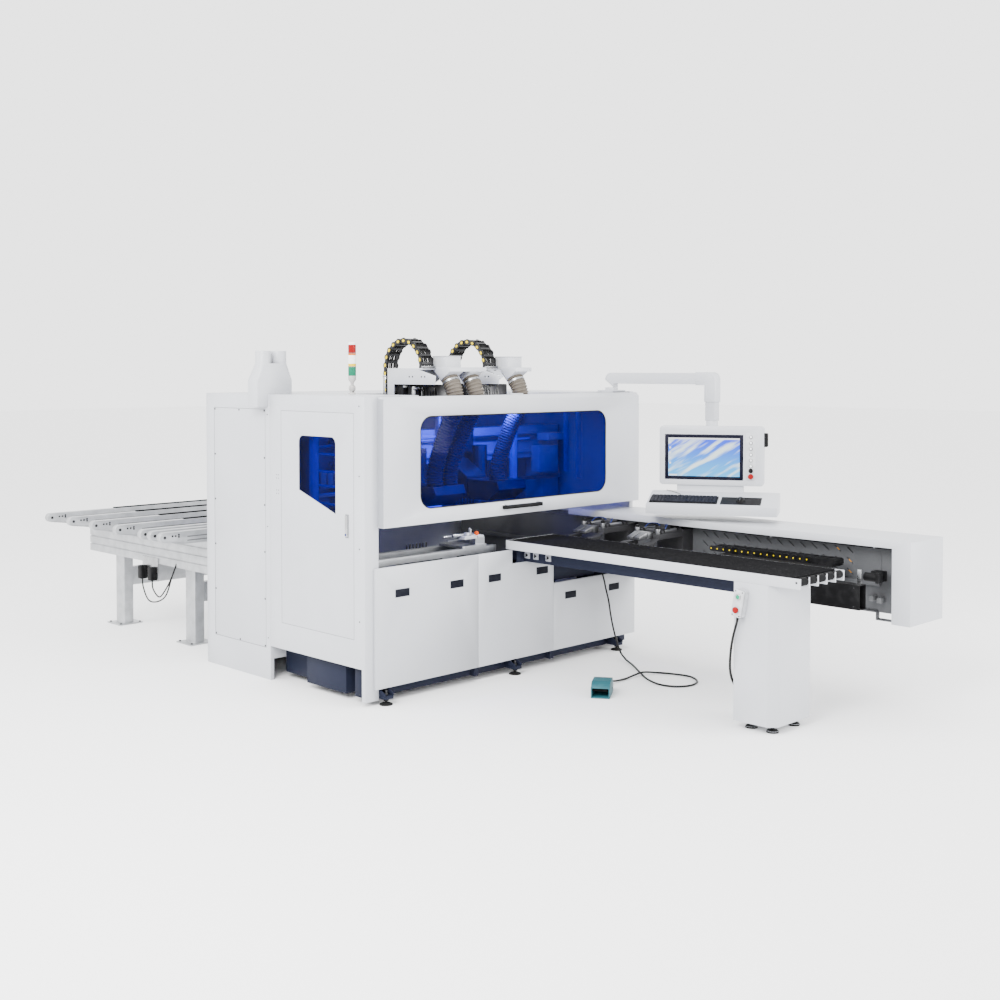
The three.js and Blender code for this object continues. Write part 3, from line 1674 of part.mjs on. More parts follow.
// The console hangs from an arm that swings on a post on the roof.
const post = {
  x: enclosure.width - fromRight.post,
  y: 100,
  base: 170,
  plate: 12,
  top: enclosure.height + rise.post,
};
const arm = {
  width: 60,
  tube: 86,
  top: enclosure.height + rise.arm,
  sleeve: 6,
  sleeveLength: 130,
  reach: 980,
  outer: 55,
  inner: 18,
  bottom: enclosure.height - drop.arm,
};
const screenTurn = THREE.MathUtils.degToRad(-60.7);
const housing = {
  half: 385,
  depth: 90,
  bottom: enclosure.height - drop.screenBottom,
  top: enclosure.height - drop.screenTop,
  corner: 26,
  screenLeft: -345,
  screenRight: 235,
  screenBottom: enclosure.height - drop.glassBottom,
  screenTop: enclosure.height - drop.glassTop,
  recess: 6,
  coupling: 44,
};
const keyTray = {
  left: -440,
  right: 500,
  front: -345,
  knee: -45,
  back: 30,
  bottom: enclosure.height - drop.trayBottom,
  lip: enclosure.height - drop.trayLip,
  high: enclosure.height - drop.trayHigh,
  wall: 4,
  padLeft: -400,
  padRight: 380,
  padInset: 30,
};
const stopPlace = { x: 290, z: enclosure.height - drop.consoleStop };

function consolePost() {
  const half = post.base / 2;
  const low = enclosure.height + gap;
  return join(
    prism("z", roundedOutline(-half, -half, half, half, half / 4), low, low + post.plate),
    block([-arm.width / 2, -arm.tube / 2, low], [arm.width / 2, arm.tube / 2, post.top]),
  );
}

// The arm's side view is a band with round bends, and sleeves stand proud at its two elbows.
function consoleArm() {
  const half = arm.tube / 2;
  const far = -arm.reach;
  const start = post.top + gap;
  const under = arm.top - arm.tube;
  const band = new THREE.Shape();
  band.moveTo(half, start);
  band.absarc(half - arm.outer, arm.top - arm.outer, arm.outer, 0, Math.PI / 2, false);
  band.absarc(far - half + arm.outer, arm.top - arm.outer, arm.outer, Math.PI / 2, Math.PI, false);
  band.lineTo(far - half, arm.bottom);
  band.lineTo(far + half, arm.bottom);
  band.absarc(far + half + arm.inner, under - arm.inner, arm.inner, Math.PI, Math.PI / 2, true);
  band.lineTo(-half, under);
  band.lineTo(-half, start);
  const wide = arm.width / 2 + arm.sleeve;
  const sleeve = new THREE.Shape();
  const tall = half + arm.sleeve;
  sleeve.moveTo(far - tall, under - arm.sleeveLength);
  sleeve.lineTo(far + tall, under - arm.sleeveLength);
  sleeve.lineTo(far + tall, under - arm.sleeve);
  sleeve.lineTo(far + arm.sleeveLength, under - arm.sleeve);
  sleeve.lineTo(far + arm.sleeveLength, arm.top + arm.sleeve);
  sleeve.absarc(far - tall + arm.outer, arm.top + arm.sleeve - arm.outer, arm.outer, Math.PI / 2,
    Math.PI, false);
  return join(
    prism("x", band, -arm.width / 2, arm.width / 2),
    prism("x", sleeve, -wide, wide),
  );
}

function consoleHousing() {
  const h = housing;
  const t = keyTray;
  const front = -h.depth / 2;
  const body = prism("y", roundedOutline(-h.half, h.bottom, h.half, h.top, h.corner), front, -front);
  const recess = block(
    [h.screenLeft, front - overrun, h.screenBottom],
    [h.screenRight, front + h.recess, h.screenTop],
  );
  const stopWell = rod("y", mushroom.stem + gap, [stopPlace.x, stopPlace.z], front - overrun,
    front + mushroom.stemLength);
  const coupling = rod("z", h.coupling, [0, 0], h.top - overrun, arm.bottom - gap);
  const neck = block(
    [h.screenLeft + h.depth, front + h.corner / 2, t.high - overrun],
    [h.screenRight, t.back, h.bottom + overrun],
  );
  const trayOutline = (inset) =>
    outlineOf([
      [t.front + inset, t.bottom - (inset ? overrun : 0)],
      [t.back - inset, t.bottom - (inset ? overrun : 0)],
      [t.back - inset, t.high - inset],
      [t.knee, t.high - inset],
      [t.front + inset, t.lip - inset],
    ]);
  const tray = cut(
    prism("x", trayOutline(0), t.left, t.right),
    prism("x", trayOutline(t.wall), t.left + t.wall, t.right - t.wall),
  );
  return join(cut(body, recess, stopWell), coupling, neck, tray);
}

function consoleStop() {
  const front = -housing.depth / 2;
  const capFace = front - mushroom.stemLength * capShare;
  const at = [stopPlace.x, stopPlace.z];
  return join(
    rod("y", mushroom.radius, at, capFace - mushroom.capLength, capFace),
    rod("y", mushroom.stem, at, capFace - overrun, front + mushroom.stemLength * stemShare),
  );
}

const postGroup = new THREE.Group();
postGroup.position.set(post.x, post.y, 0);
machine.add(postGroup);
addPiece("console_post", consolePost(), "white", postGroup);
addPiece("console_arm", consoleArm(), "white", postGroup);
const consoleGroup = new THREE.Group();
consoleGroup.position.set(0, -arm.reach, 0);
consoleGroup.rotation.z = screenTurn;
postGroup.add(consoleGroup);
addPiece("console_housing", consoleHousing(), "white", consoleGroup);
addPiece("console_stop_button", consoleStop(), "red", consoleGroup);

// The outfeed: seven belt arms on two crossbeams with four posts
const outfeedStep = 10;
const outfeed = {
  noseX: -190,
  right: outfeedEdge,
  top: table.top - outfeedStep,
  nose: 38,
  noseDrop: 2,
  taper: 170,
  armHeight: 100,
  armWidth: 52,
  nearRows: behind.nearRows.map((back) => enclosure.depth + back),
  firstWide: enclosure.depth + behind.wideRow,
  wideCount: 5,
  widePitch: 398,
};
const crossRail = {
  left: 200,
  thick: 60,
  front: enclosure.depth + gap,
  back: enclosure.depth + behind.railEnd,
  bottom: 607,
  groove: 10,
};
const railSetback = 300;
const crossRailRight = outfeedEdge - railSetback;
const railGrooves = [668, 736, 804];
const outPost = {
  width: 84,
  depth: 142,
  rows: behind.posts.map((back) => enclosure.depth + back),
  top: 780,
  plate: 220,
  plateHeight: 10,
};
const channel = { bottom: 330, height: 160, thick: 60 };
const shaft = { x: 410, z: 812, radius: 12, pulley: 32, pulleyWidth: 40, bearing: 30, plate: 14 };

function armRows() {
  const rows = [...outfeed.nearRows];
  for (let i = 0; i < outfeed.wideCount; i += 1) rows.push(outfeed.firstWide + i * outfeed.widePitch);
  return rows;
}

// An arm's side view: a round nose, a taper and a straight body. Two steps along its sides show the profile.
function beltArm(y) {
  const noseZ = outfeed.top - outfeed.nose;
  const bottom = outfeed.top - outfeed.armHeight;
  const shape = new THREE.Shape();
  shape.moveTo(outfeed.right, bottom);
  shape.lineTo(outfeed.right, outfeed.top);
  shape.lineTo(outfeed.noseX, outfeed.top);
  shape.absarc(outfeed.noseX, noseZ, outfeed.nose, Math.PI / 2, Math.PI * 1.45, false);
  shape.lineTo(outfeed.noseX + outfeed.taper, bottom);
  return prism("y", shape, y - outfeed.armWidth / 2, y + outfeed.armWidth / 2);
}

function crossBeam(x) {
  const top = outfeed.top - outfeed.armHeight + overrun / 2;
  const beam = block([x, crossRail.front, crossRail.bottom], [x + crossRail.thick, crossRail.back, top]);
  const grooves = railGrooves.map((z) =>
    block(
      [x - overrun, crossRail.front - overrun, z],
      [x + crossRail.groove, crossRail.back + overrun, z + crossRail.groove],
    ),
  );
  return cut(beam, ...grooves);
}

function outfeedFrame() {
  const parts = armRows().map(beltArm);
  for (const x of [crossRail.left, crossRailRight]) {
    parts.push(crossBeam(x));
    const left = x + crossRail.thick - overrun / 2;
    for (const y of outPost.rows) {
      const front = y - outPost.depth / 2;
      parts.push(block([left, front, 0], [left + outPost.width, front + outPost.depth, outPost.top]));
      const middle = left + outPost.width / 2;
      parts.push(
        block(
          [middle - outPost.plate / 2, y - outPost.plate / 2, 0],
          [middle + outPost.plate / 2, y + outPost.plate / 2, outPost.plateHeight],
        ),
      );
    }
  }
  for (const y of outPost.rows) {
    parts.push(
      block(
        [crossRail.left + crossRail.thick, y - channel.thick / 2, channel.bottom],
        [crossRailRight + crossRail.thick, y + channel.thick / 2, channel.bottom + channel.height],
      ),
    );
  }
  const rows = armRows();
  for (const y of [rows[0] - outfeed.armWidth, rows[rows.length - 1] - outfeed.armWidth * 2]) {
    const hanger = block(
      [crossRail.left + crossRail.thick - overrun / 2, y, shaft.z - shaft.bearing],
      [shaft.x + shaft.bearing, y + shaft.plate, shaft.z + shaft.bearing],
    );
    const bore = rod("y", shaft.radius + gap * 2, [shaft.x, shaft.z], y - overrun,
      y + shaft.plate + overrun);
    parts.push(cut(hanger, bore));
  }
  return join(...parts);
}

function outfeedShaft() {
  const rows = armRows();
  const last = rows[rows.length - 1];
  const at = [shaft.x, shaft.z];
  const pulleys = rows.map((y) =>
    rod("y", shaft.pulley, at, y - shaft.pulleyWidth / 2, y + shaft.pulleyWidth / 2, 12),
  );
  return join(rod("y", shaft.radius, at, rows[0] - outfeed.armWidth * 1.5, last + shaft.pulleyWidth, 12),
    ...pulleys);
}

addPiece("outfeed_frame", outfeedFrame(), "silver");
addPiece("outfeed_shaft", outfeedShaft(), "grey");

// The foot pedal lies on the floor at the end of its cord.
const pedal = { x: 1370, y: -865, turn: 0.594, length: 230, width: 128, height: 104, wall: 7, base: 8 };
const tread = { thickness: 9, pivotZ: 34, pivotX: 72, frontZ: 46, reach: 96, hinge: 7 };
const cord = { radius: 5.5, glandRadius: 10, glandLength: 34, glandZ: 40 };

function pedalHousing() {
  const p = pedal;
  const half = p.length / 2;
  const side = p.width / 2;
  const shell = prism(
    "y",
    outlineOf([
      [-half, 0],
      [half, 0],
      [half, p.height * 0.62],
      [half - p.height * 0.4, p.height],
      [-half + p.height * 0.5, p.height],
      [-half, p.height * 0.72],
    ]),
    -side,
    side,
  );
  const inside = prism(
    "y",
    outlineOf([
      [-half - overrun, p.base],
      [half - p.wall * 3, p.base],
      [half - p.wall * 3, p.height * 0.62 - p.wall],
      [half - p.height * 0.4, p.height - p.wall],
      [-half + p.height * 0.5, p.height - p.wall],
      [-half - overrun, p.height * 0.72 - p.wall * 1.5],
    ]),
    -side + p.wall,
    side - p.wall,
  );
  const pin = rod("y", tread.hinge - gap, [tread.pivotX, tread.pivotZ], -side + overrun / 2,
    side - overrun / 2, 12);
  const gland = rod("x", cord.glandRadius, [0, cord.glandZ], half - overrun, half + cord.glandLength, 12);
  return join(cut(shell, inside), pin, gland);
}

function pedalTread() {
  const side = pedal.width / 2 - pedal.wall - gap * 2;
  const bar = prism(
    "y",
    outlineOf([
      [tread.pivotX + tread.hinge, tread.pivotZ - tread.hinge],
      [tread.pivotX + tread.hinge, tread.pivotZ + tread.hinge],
      [-tread.reach, tread.frontZ + tread.thickness],
      [-tread.reach - tread.thickness, tread.frontZ + tread.thickness / 2],
      [-tread.reach, tread.frontZ],
    ]),
    -side,
    side,
  );
  const barrel = rod("y", tread.hinge * 1.6, [tread.pivotX, tread.pivotZ], -side, side, 12);
  const bore = rod("y", tread.hinge, [tread.pivotX, tread.pivotZ], -side - overrun, side + overrun, 12);
  return cut(join(bar, barrel), bore);
}

const pedalGroup = new THREE.Group();
pedalGroup.position.set(pedal.x, pedal.y, 0);
pedalGroup.rotation.z = pedal.turn;
machine.add(pedalGroup);
addPiece("pedal_housing", pedalHousing(), "teal", pedalGroup);
addPiece("pedal_tread", pedalTread(), "black", pedalGroup);

// The pedal's cord leaves the crossbar over the right panel, hangs to the floor and lies in one loop.
const cordRoute = [
  [2300, crossbar.front - gap, 668],
  [2300, -20, 666],
  [2303, -58, 640],
  [2308, -76, 590],
  [2316, -88, 520],
  [2330, -104, 429],
  [2331, -135, 278],
  [2332, -182, 129],
  [2322, -232, 46],
  [2275, -318, 10],
  [2181, -464, 8],
  [2025, -667, 8],
  [1900, -841, 8],
  [1846, -992, 8],
  [1876, -1100, 8],
  [1973, -1157, 8],
  [2102, -1122, 8],
  [2186, -997, 8],
  [2156, -850, 8],
  [2075, -762, 14],
  [1990, -722, 24],
  [1900, -712, 14],
  [1800, -716, 8],
  [1690, -722, 14],
  [1590, -741, 32],
];

function cordEnd() {
  const reach = pedal.length / 2 + cord.glandLength;
  return (extra) => [
    pedal.x + (reach + extra) * Math.cos(pedal.turn),
    pedal.y + (reach + extra) * Math.sin(pedal.turn),
    cord.glandZ,
  ];
}

function pedalCord() {
  const end = cordEnd();
  const points = [...cordRoute, end(cord.glandLength), end(gap)];
  const route = new THREE.CatmullRomCurve3(points.map((p) => new THREE.Vector3(...p)), false, "centripetal");
  const circle = new THREE.Shape().absarc(0, 0, cord.radius, 0, Math.PI * 2, false);
  return toSolid(
    new THREE.ExtrudeGeometry(circle, { steps: 72, curveSegments: 4, extrudePath: route }),
  );
}

addPiece("pedal_cord", pedalCord(), "black");

// The origin is the middle of the footprint of everything but the cord, on the floor.
const whole = new THREE.Box3();
machine.updateMatrixWorld(true);
machine.traverse((piece) => {
  if (piece.isMesh && piece.name !== "pedal_cord") whole.expandByObject(piece, true);
});
const centre = whole.getCenter(new THREE.Vector3());
machine.position.set(-centre.x, -centre.y, 0);

export default machine;
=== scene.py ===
"""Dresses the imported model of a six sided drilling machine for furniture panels.

Lengths inside the classes are millimetres from the enclosure's near left corner on the floor, with x
along the window side, y into the machine and z up. Place turns them into the model's metres.
"""

import json
import logging
import math
from collections.abc import Iterable, Sequence
from dataclasses import dataclass, field
from enum import Enum

import bmesh
import bpy
from mathutils import Matrix, Vector

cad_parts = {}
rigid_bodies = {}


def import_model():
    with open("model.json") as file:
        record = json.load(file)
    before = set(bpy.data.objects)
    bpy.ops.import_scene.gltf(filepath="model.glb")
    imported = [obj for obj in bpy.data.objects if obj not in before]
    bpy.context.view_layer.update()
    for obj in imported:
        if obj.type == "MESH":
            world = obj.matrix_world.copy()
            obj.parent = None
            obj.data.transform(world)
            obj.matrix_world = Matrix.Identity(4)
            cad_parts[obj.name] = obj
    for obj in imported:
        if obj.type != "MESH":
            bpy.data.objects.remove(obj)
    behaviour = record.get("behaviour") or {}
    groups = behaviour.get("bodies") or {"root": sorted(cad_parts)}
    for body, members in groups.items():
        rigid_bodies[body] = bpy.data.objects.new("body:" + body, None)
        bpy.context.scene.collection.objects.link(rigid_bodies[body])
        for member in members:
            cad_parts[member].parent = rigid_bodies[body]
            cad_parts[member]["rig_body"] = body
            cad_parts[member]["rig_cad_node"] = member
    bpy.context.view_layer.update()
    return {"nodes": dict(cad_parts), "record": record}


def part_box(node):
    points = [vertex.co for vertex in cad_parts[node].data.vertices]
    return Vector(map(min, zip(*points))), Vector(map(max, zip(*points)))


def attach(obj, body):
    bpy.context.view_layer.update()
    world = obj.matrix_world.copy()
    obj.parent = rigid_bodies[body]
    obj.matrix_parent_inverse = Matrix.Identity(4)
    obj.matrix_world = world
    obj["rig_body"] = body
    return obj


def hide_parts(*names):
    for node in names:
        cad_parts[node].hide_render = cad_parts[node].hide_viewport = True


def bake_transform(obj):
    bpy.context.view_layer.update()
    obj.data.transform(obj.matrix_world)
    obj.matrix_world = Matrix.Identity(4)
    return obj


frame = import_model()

log = logging.getLogger("machine")

Point = tuple[float, float, float]
Colour = tuple[float, float, float]
CABINET_FRONT = 1073.0
MILLIMETRE = 0.001


class Axis(Enum):
    """The axis that a round piece stands along."""

    X = 0
    Y = 1
    Z = 2

    @property
    def turn(self) -> tuple[float, float, float]:
        """The turn in radians that lays a standing primitive along this axis."""
        return {
            Axis.X: (0.0, math.pi / 2, 0.0),
            Axis.Y: (math.pi / 2, 0.0, 0.0),
            Axis.Z: (0.0, 0.0, 0.0),
        }[self]


def corner_shift() -> Vector:
    """The enclosure's near left corner in the model's frame.

    Returns:
        The corner on the floor, in metres.
    """
    low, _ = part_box("electrical_cabinet")
    return Vector((low.x, low.y - CABINET_FRONT * MILLIMETRE, 0.0))


CORNER = corner_shift()


def place(x: float, y: float, z: float) -> Vector:
    """A point of the machine in the model's frame.

    Args:
        x: Along the window side, in millimetres.
        y: Into the machine, in millimetres.
        z: Up, in millimetres.

    Returns:
        The point in metres.
    """
    return CORNER + Vector((x, y, z)) * MILLIMETRE


# Materials


class Signal:
    """An output socket that can be computed with."""

    def __init__(self, graph: "Graph", socket: bpy.types.NodeSocket) -> None:
        """Keeps the socket and its graph."""
        self.graph = graph
        self.socket = socket

    def _math(self, operation: str, other: "Signal | float", swapped: bool = False) -> "Signal":
        """One Math node of this signal and another value."""
        pair = (other, self) if swapped else (self, other)
        return self.graph.math(operation, *pair)

    def __add__(self, other: "Signal | float") -> "Signal":
        """The sum."""
        return self._math("ADD", other)

    def __sub__(self, other: "Signal | float") -> "Signal":
        """The difference."""
        return self._math("SUBTRACT", other)

    def __rsub__(self, other: float) -> "Signal":
        """A number less this signal."""
        return self._math("SUBTRACT", other, swapped=True)

    def __mul__(self, other: "Signal | float") -> "Signal":
        """The product."""
        return self._math("MULTIPLY", other)

    def __truediv__(self, other: "Signal | float") -> "Signal":
        """The quotient."""
        return self._math("DIVIDE", other)

    def __mod__(self, other: "Signal | float") -> "Signal":
        """The remainder, never negative."""
        return self._math("FLOORED_MODULO", other)

    def __gt__(self, other: "Signal | float") -> "Signal":
        """One where this signal is greater."""
        return self._math("GREATER_THAN", other)

    def __lt__(self, other: "Signal | float") -> "Signal":
        """One where this signal is less."""
        return self._math("LESS_THAN", other)


class Graph:
    """The node tree of one material, with a Principled shader at its end."""

    def __init__(self, name: str) -> None:
        """Makes an empty material with its shader and output."""
        self.material = bpy.data.materials.new(name)
        self.material.use_nodes = True
        self.tree = self.material.node_tree
        self.tree.nodes.clear()
        self.shader = self.tree.nodes.new("ShaderNodeBsdfPrincipled")
        self.output = self.tree.nodes.new("ShaderNodeOutputMaterial")
        self.tree.links.new(self.shader.outputs[0], self.output.inputs["Surface"])
        coordinates = self.tree.nodes.new("ShaderNodeTexCoord")
        self.place = Signal(self, coordinates.outputs["Object"])

    def node(self, kind: str, inputs: dict | None = None, **settings: object) -> bpy.types.Node:
        """Adds a node.

        Args:
            kind: The node's type, without its ShaderNode prefix.
            inputs: A value or signal for each named or numbered socket.
            settings: The node's own properties.

        Returns:
            The node.
        """
        made = self.tree.nodes.new("ShaderNode" + kind)
        for name, value in settings.items():
            setattr(made, name, value)
        for name, value in (inputs or {}).items():
            self.feed(made.inputs[name], value)
        return made

    def feed(self, socket: bpy.types.NodeSocket, value: object) -> None:
        """Links a signal to a socket, or sets the socket's own value."""
        if isinstance(value, Signal):
            self.tree.links.new(value.socket, socket)
        elif isinstance(value, tuple) and len(value) == 3 and socket.type == "RGBA":
            socket.default_value = (*value, 1.0)
        else:
            socket.default_value = value

    def math(self, operation: str, *values: "Signal | float") -> Signal:
        """A Math node's result."""
        made = self.node("Math", dict(enumerate(values)), operation=operation)
        return Signal(self, made.outputs[0])

    def scaled(self, scale: Point) -> Signal:
        """The object's coordinates, stretched."""
        made = self.node("Mapping", {"Vector": self.place, "Scale": Vector(scale)})
        return Signal(self, made.outputs[0])

    def axis(self, axis: Axis) -> Signal:
        """One of the object's coordinates, in metres."""
        made = self.node("SeparateXYZ", {0: self.place})
        return Signal(self, made.outputs[axis.value])

    def noise(self, size: float, detail: float = 2.0, stretch: Point = (1, 1, 1)) -> Signal:
        """Noise whose blobs are about size metres, from 0 to 1."""
        made = self.node(
            "TexNoise",
            {"Vector": self.scaled(stretch), "Scale": 1.0 / size, "Detail": detail},
        )
        return Signal(self, made.outputs["Fac"])

    def cells(self, size: float, feature: str = "F1") -> Signal:
        """The distance to the nearest of cells about size metres across."""
        made = self.node(
            "TexVoronoi", {"Vector": self.place, "Scale": 1.0 / size}, feature=feature
        )
        return Signal(self, made.outputs["Distance"])

    def blend(self, share: Signal, first: object, second: object) -> Signal:
        """A colour between two, by a share from 0 to 1."""
        made = self.node("Mix", {0: share, 6: first, 7: second}, data_type="RGBA")
        return Signal(self, made.outputs[2])

    def spread(self, signal: Signal, low: float, high: float) -> Signal:
        """A signal of 0 to 1 spread from low to high."""
        made = self.node("MapRange", {0: signal, 1: 0.0, 2: 1.0, 3: low, 4: high})
        return Signal(self, made.outputs[0])

    def edge(self, signal: Signal, low: float, high: float) -> Signal:
        """0 below low and 1 above high, smooth between."""
        made = self.node(
            "MapRange", {0: signal, 1: low, 2: high, 3: 0.0, 4: 1.0}, interpolation_type="SMOOTHSTEP"
        )
        return Signal(self, made.outputs[0])

    def relief(self, height: Signal, depth: float, strength: float = 1.0) -> None:
        """Bumps the surface by a height signal, with depth in metres."""
        made = self.node("Bump", {"Height": height, "Distance": depth, "Strength": strength})
        self.feed(self.shader.inputs["Normal"], Signal(self, made.outputs[0]))

    def set(self, **values: object) -> None:
        """Sets the shader's sockets, named with underscores for spaces."""
        for name, value in values.items():
            self.feed(self.shader.inputs[name.replace("_", " ")], value)


class Finish:
    """A surface finish: a material that is made once and then shared."""

    made: dict = {}

    def material(self) -> bpy.types.Material:
        """The finish's material, made on first use."""
        if self not in Finish.made:
            graph = Graph(self.label())
            self.paint(graph)
            Finish.made[self] = graph.material
        return Finish.made[self]

    def label(self) -> str:
        """The material's name."""
        return f"{type(self).__name__}_{len(Finish.made)}"

    def paint(self, graph: Graph) -> None:
        """Lays the finish's nodes in the graph."""
        raise NotImplementedError


@dataclass(frozen=True)
class PowderCoat(Finish):
    """Baked powder paint on sheet metal, with a fine orange peel and faint handling marks."""

    colour: Colour
    shade: Colour
    rough: float = 0.38
    peel: float = 0.0016
    depth: float = 0.00005
    shine: float = 0.35
    coat: float = 0.1

    def paint(self, graph: Graph) -> None:
        """Mixes two near tones, varies the gloss and adds the peel."""
        cloud = graph.noise(0.55, 3.0)
        smear = graph.edge(graph.noise(0.06, 4.0, (1, 1, 0.25)), 0.52, 0.8)
        graph.set(
            Base_Color=graph.blend(graph.edge(cloud, 0.3, 0.75), self.shade, self.colour),
            Roughness=graph.spread(cloud, self.rough - 0.05, self.rough + 0.05) + smear * 0.05,
            Specular_IOR_Level=self.shine,
            Coat_Weight=self.coat,
            Coat_Roughness=0.25,
        )
        graph.relief(graph.noise(self.peel, 1.0), self.depth, 0.5)


@dataclass(frozen=True)
class GroundMetal(Finish):
    """Metal with fine lines from grinding or drawing along one axis."""

    colour: Colour
    rough: float = 0.32
    metal: float = 1.0
    along: Axis = Axis.X
    line: float = 0.0009

    def paint(self, graph: Graph) -> None:
        """Stretches fine noise along the drawing direction."""
        stretch = [1.0, 1.0, 1.0]
        stretch[self.along.value] = 0.012
        lines = graph.noise(self.line, 3.0, tuple(stretch))
        stain = graph.noise(0.08, 4.0)
        dark = tuple(0.72 * c for c in self.colour)
        graph.set(
            Base_Color=graph.blend(graph.edge(stain * 0.6 + lines * 0.4, 0.3, 0.7), dark, self.colour),
            Roughness=graph.spread(lines, self.rough - 0.08, self.rough + 0.12),
            Metallic=self.metal,
        )
        graph.relief(lines, 0.00004, 0.4)


@dataclass(frozen=True)
class MouldedPlastic(Finish):
    """Moulded plastic with a fine spark-eroded grain."""

    colour: Colour
    rough: float = 0.5
    grain: float = 0.0007
    depth: float = 0.00005
    coat: float = 0.0
    shine: float = 0.3

    def paint(self, graph: Graph) -> None:
        """Adds the grain, a little tone change and rubbed spots."""
        grain = graph.noise(self.grain, 2.0)
        cloud = graph.noise(0.05, 3.0)
        light = tuple(min(1.0, c * 1.25 + 0.006) for c in self.colour)
        graph.set(
            Base_Color=graph.blend(graph.edge(cloud, 0.35, 0.8), self.colour, light),
            Roughness=graph.spread(cloud, self.rough - 0.08, self.rough + 0.08),
            Specular_IOR_Level=self.shine,
            Coat_Weight=self.coat,
            Coat_Roughness=0.12,
        )
        graph.relief(grain, self.depth, 0.6)


@dataclass(frozen=True)
class TintedSheet(Finish):
    """Clear coloured plastic sheet."""

    tint: Colour
    body: float = 0.12
    gloss: float = 0.4

    def paint(self, graph: Graph) -> None:
        """Lets coloured light through and keeps a share as a glossy surface."""
        haze = graph.noise(0.25, 3.0)
        graph.set(
            Base_Color=tuple(0.1 * c for c in self.tint),
            Roughness=graph.spread(haze, 0.03, 0.09),
            Coat_Weight=self.gloss,
            Coat_Roughness=0.02,
            IOR=1.49,
        )
        film = graph.node("BsdfTransparent", {"Color": self.tint})
        mix = graph.node("MixShader", {0: self.body})
        graph.tree.links.new(film.outputs[0], mix.inputs[1])
        graph.tree.links.new(graph.shader.outputs[0], mix.inputs[2])
        graph.tree.links.new(mix.outputs[0], graph.output.inputs["Surface"])


@dataclass(frozen=True)
class Lens(Finish):
    """A moulded lamp lens with a clear gloss over its colour."""

    colour: Colour

    def paint(self, graph: Graph) -> None:
        """Colours the lens, with a light shine in patches spread by noise."""
        cloud = graph.noise(0.02, 2.0)
        light = tuple(min(1.0, c * 1.2) for c in self.colour)
        graph.set(
            Base_Color=graph.blend(graph.edge(cloud, 0.3, 0.8), self.colour, light),
            Roughness=0.25,
            Coat_Weight=0.12,
            Coat_Roughness=0.08,
            Specular_IOR_Level=0.1,
        )


@dataclass(frozen=True)
class Glow(Finish):
    """A plain lit colour."""

    colour: Colour
    strength: float

    def paint(self, graph: Graph) -> None:
        """Lights the surface evenly."""
        graph.set(
            Base_Color=(0, 0, 0), Emission_Color=self.colour, Emission_Strength=self.strength, Roughness=0.2
        )


@dataclass(frozen=True)
class ScreenPicture(Finish):
    """A lit screen with a plain picture of soft blue and white light bands."""

    deep: Colour = (0.0, 0.06, 1.0)
    pale: Colour = (0.04, 0.48, 1.0)
    bright: Colour = (0.85, 1.0, 1.0)
    strength: float = 1.9

    def paint(self, graph: Graph) -> None:
        """Crosses slanting bands of noise over a blue that pales downwards."""
        height = graph.edge(graph.axis(Axis.Z), 1.42, 1.72)
        band = graph.node(
            "Mapping",
            {
                "Vector": graph.place,
                "Rotation": Vector((-0.5, -0.28, 0.0)),
                "Scale": Vector((0.34, 0.34, 0.05)),
            },
            vector_type="TEXTURE",
        )
        rays = graph.node("TexNoise", {"Vector": Signal(graph, band.outputs[0]), "Scale": 1.0, "Detail": 3.0})
        glow = Signal(graph, rays.outputs["Fac"])
        sky = graph.blend(height, self.pale, self.deep)
        graph.set(
            Base_Color=(0.0, 0.0, 0.01),
            Emission_Color=graph.blend(graph.edge(glow, 0.46, 0.66), sky, self.bright),
            Emission_Strength=self.strength,
            Roughness=0.12,
        )


@dataclass(frozen=True)
class GripBed(Finish):
    """A dark sliding bed with fine raised dots."""

    colour: Colour = (0.006, 0.006, 0.0065)
    light: Colour = (0.05, 0.05, 0.052)
    pitch: float = 0.011

    def paint(self, graph: Graph) -> None:
        """Sets light dots on the bed and lifts them."""
        dots = graph.edge(graph.cells(self.pitch), 0.34, 0.16)
        cloud = graph.noise(0.3, 3.0)
        graph.set(
            Base_Color=graph.blend(dots * 0.55 + cloud * 0.12, self.colour, self.light),
            Roughness=graph.spread(cloud, 0.5, 0.62),
            Specular_IOR_Level=0.0,
        )
        graph.relief(dots, 0.0004, 0.7)


WHITE = PowderCoat((0.47, 0.483, 0.512), (0.44, 0.452, 0.48))
PANEL_WHITE = PowderCoat((0.455, 0.467, 0.493), (0.425, 0.437, 0.463))
NAVY = PowderCoat((0.0125, 0.015, 0.029), (0.009, 0.011, 0.022), 0.5, 0.003, 0.0001, 0.08, 0.0)
BEAM_GREY = PowderCoat((0.075, 0.077, 0.082), (0.055, 0.057, 0.061), 0.45, 0.002, 0.00005, 0.2, 0.0)
BLACK = MouldedPlastic((0.005, 0.005, 0.0055), 0.5, shine=0.08)
BED_BLACK = GripBed()
RUBBER = MouldedPlastic((0.007, 0.007, 0.007), 0.72, 0.0012, 0.0001, shine=0.15)
SILVER = GroundMetal((0.42, 0.43, 0.445))
SILVER_Y = GroundMetal((0.42, 0.43, 0.445), along=Axis.Y)
SILVER_Z = GroundMetal((0.46, 0.465, 0.475), 0.25, along=Axis.Z)
PROFILE = GroundMetal((0.47, 0.48, 0.495), 0.42, 0.75)
DARK_METAL = GroundMetal((0.11, 0.112, 0.118), 0.42)
BLUE_SHEET = TintedSheet((0.15, 0.19, 0.85), 0.06)
SIDE_SHEET = TintedSheet((0.14, 0.17, 0.58), 0.05)
JOINT_GREY = MouldedPlastic((0.2, 0.205, 0.22), 0.6, shine=0.1)
# A darker grey that paints the shade on the hood's left return flange.
PAINTED_SHADE_GREY = PowderCoat((0.30, 0.31, 0.335), (0.28, 0.29, 0.315))
PULL_DARK = MouldedPlastic((0.005, 0.0058, 0.01), 0.5, shine=0.05)
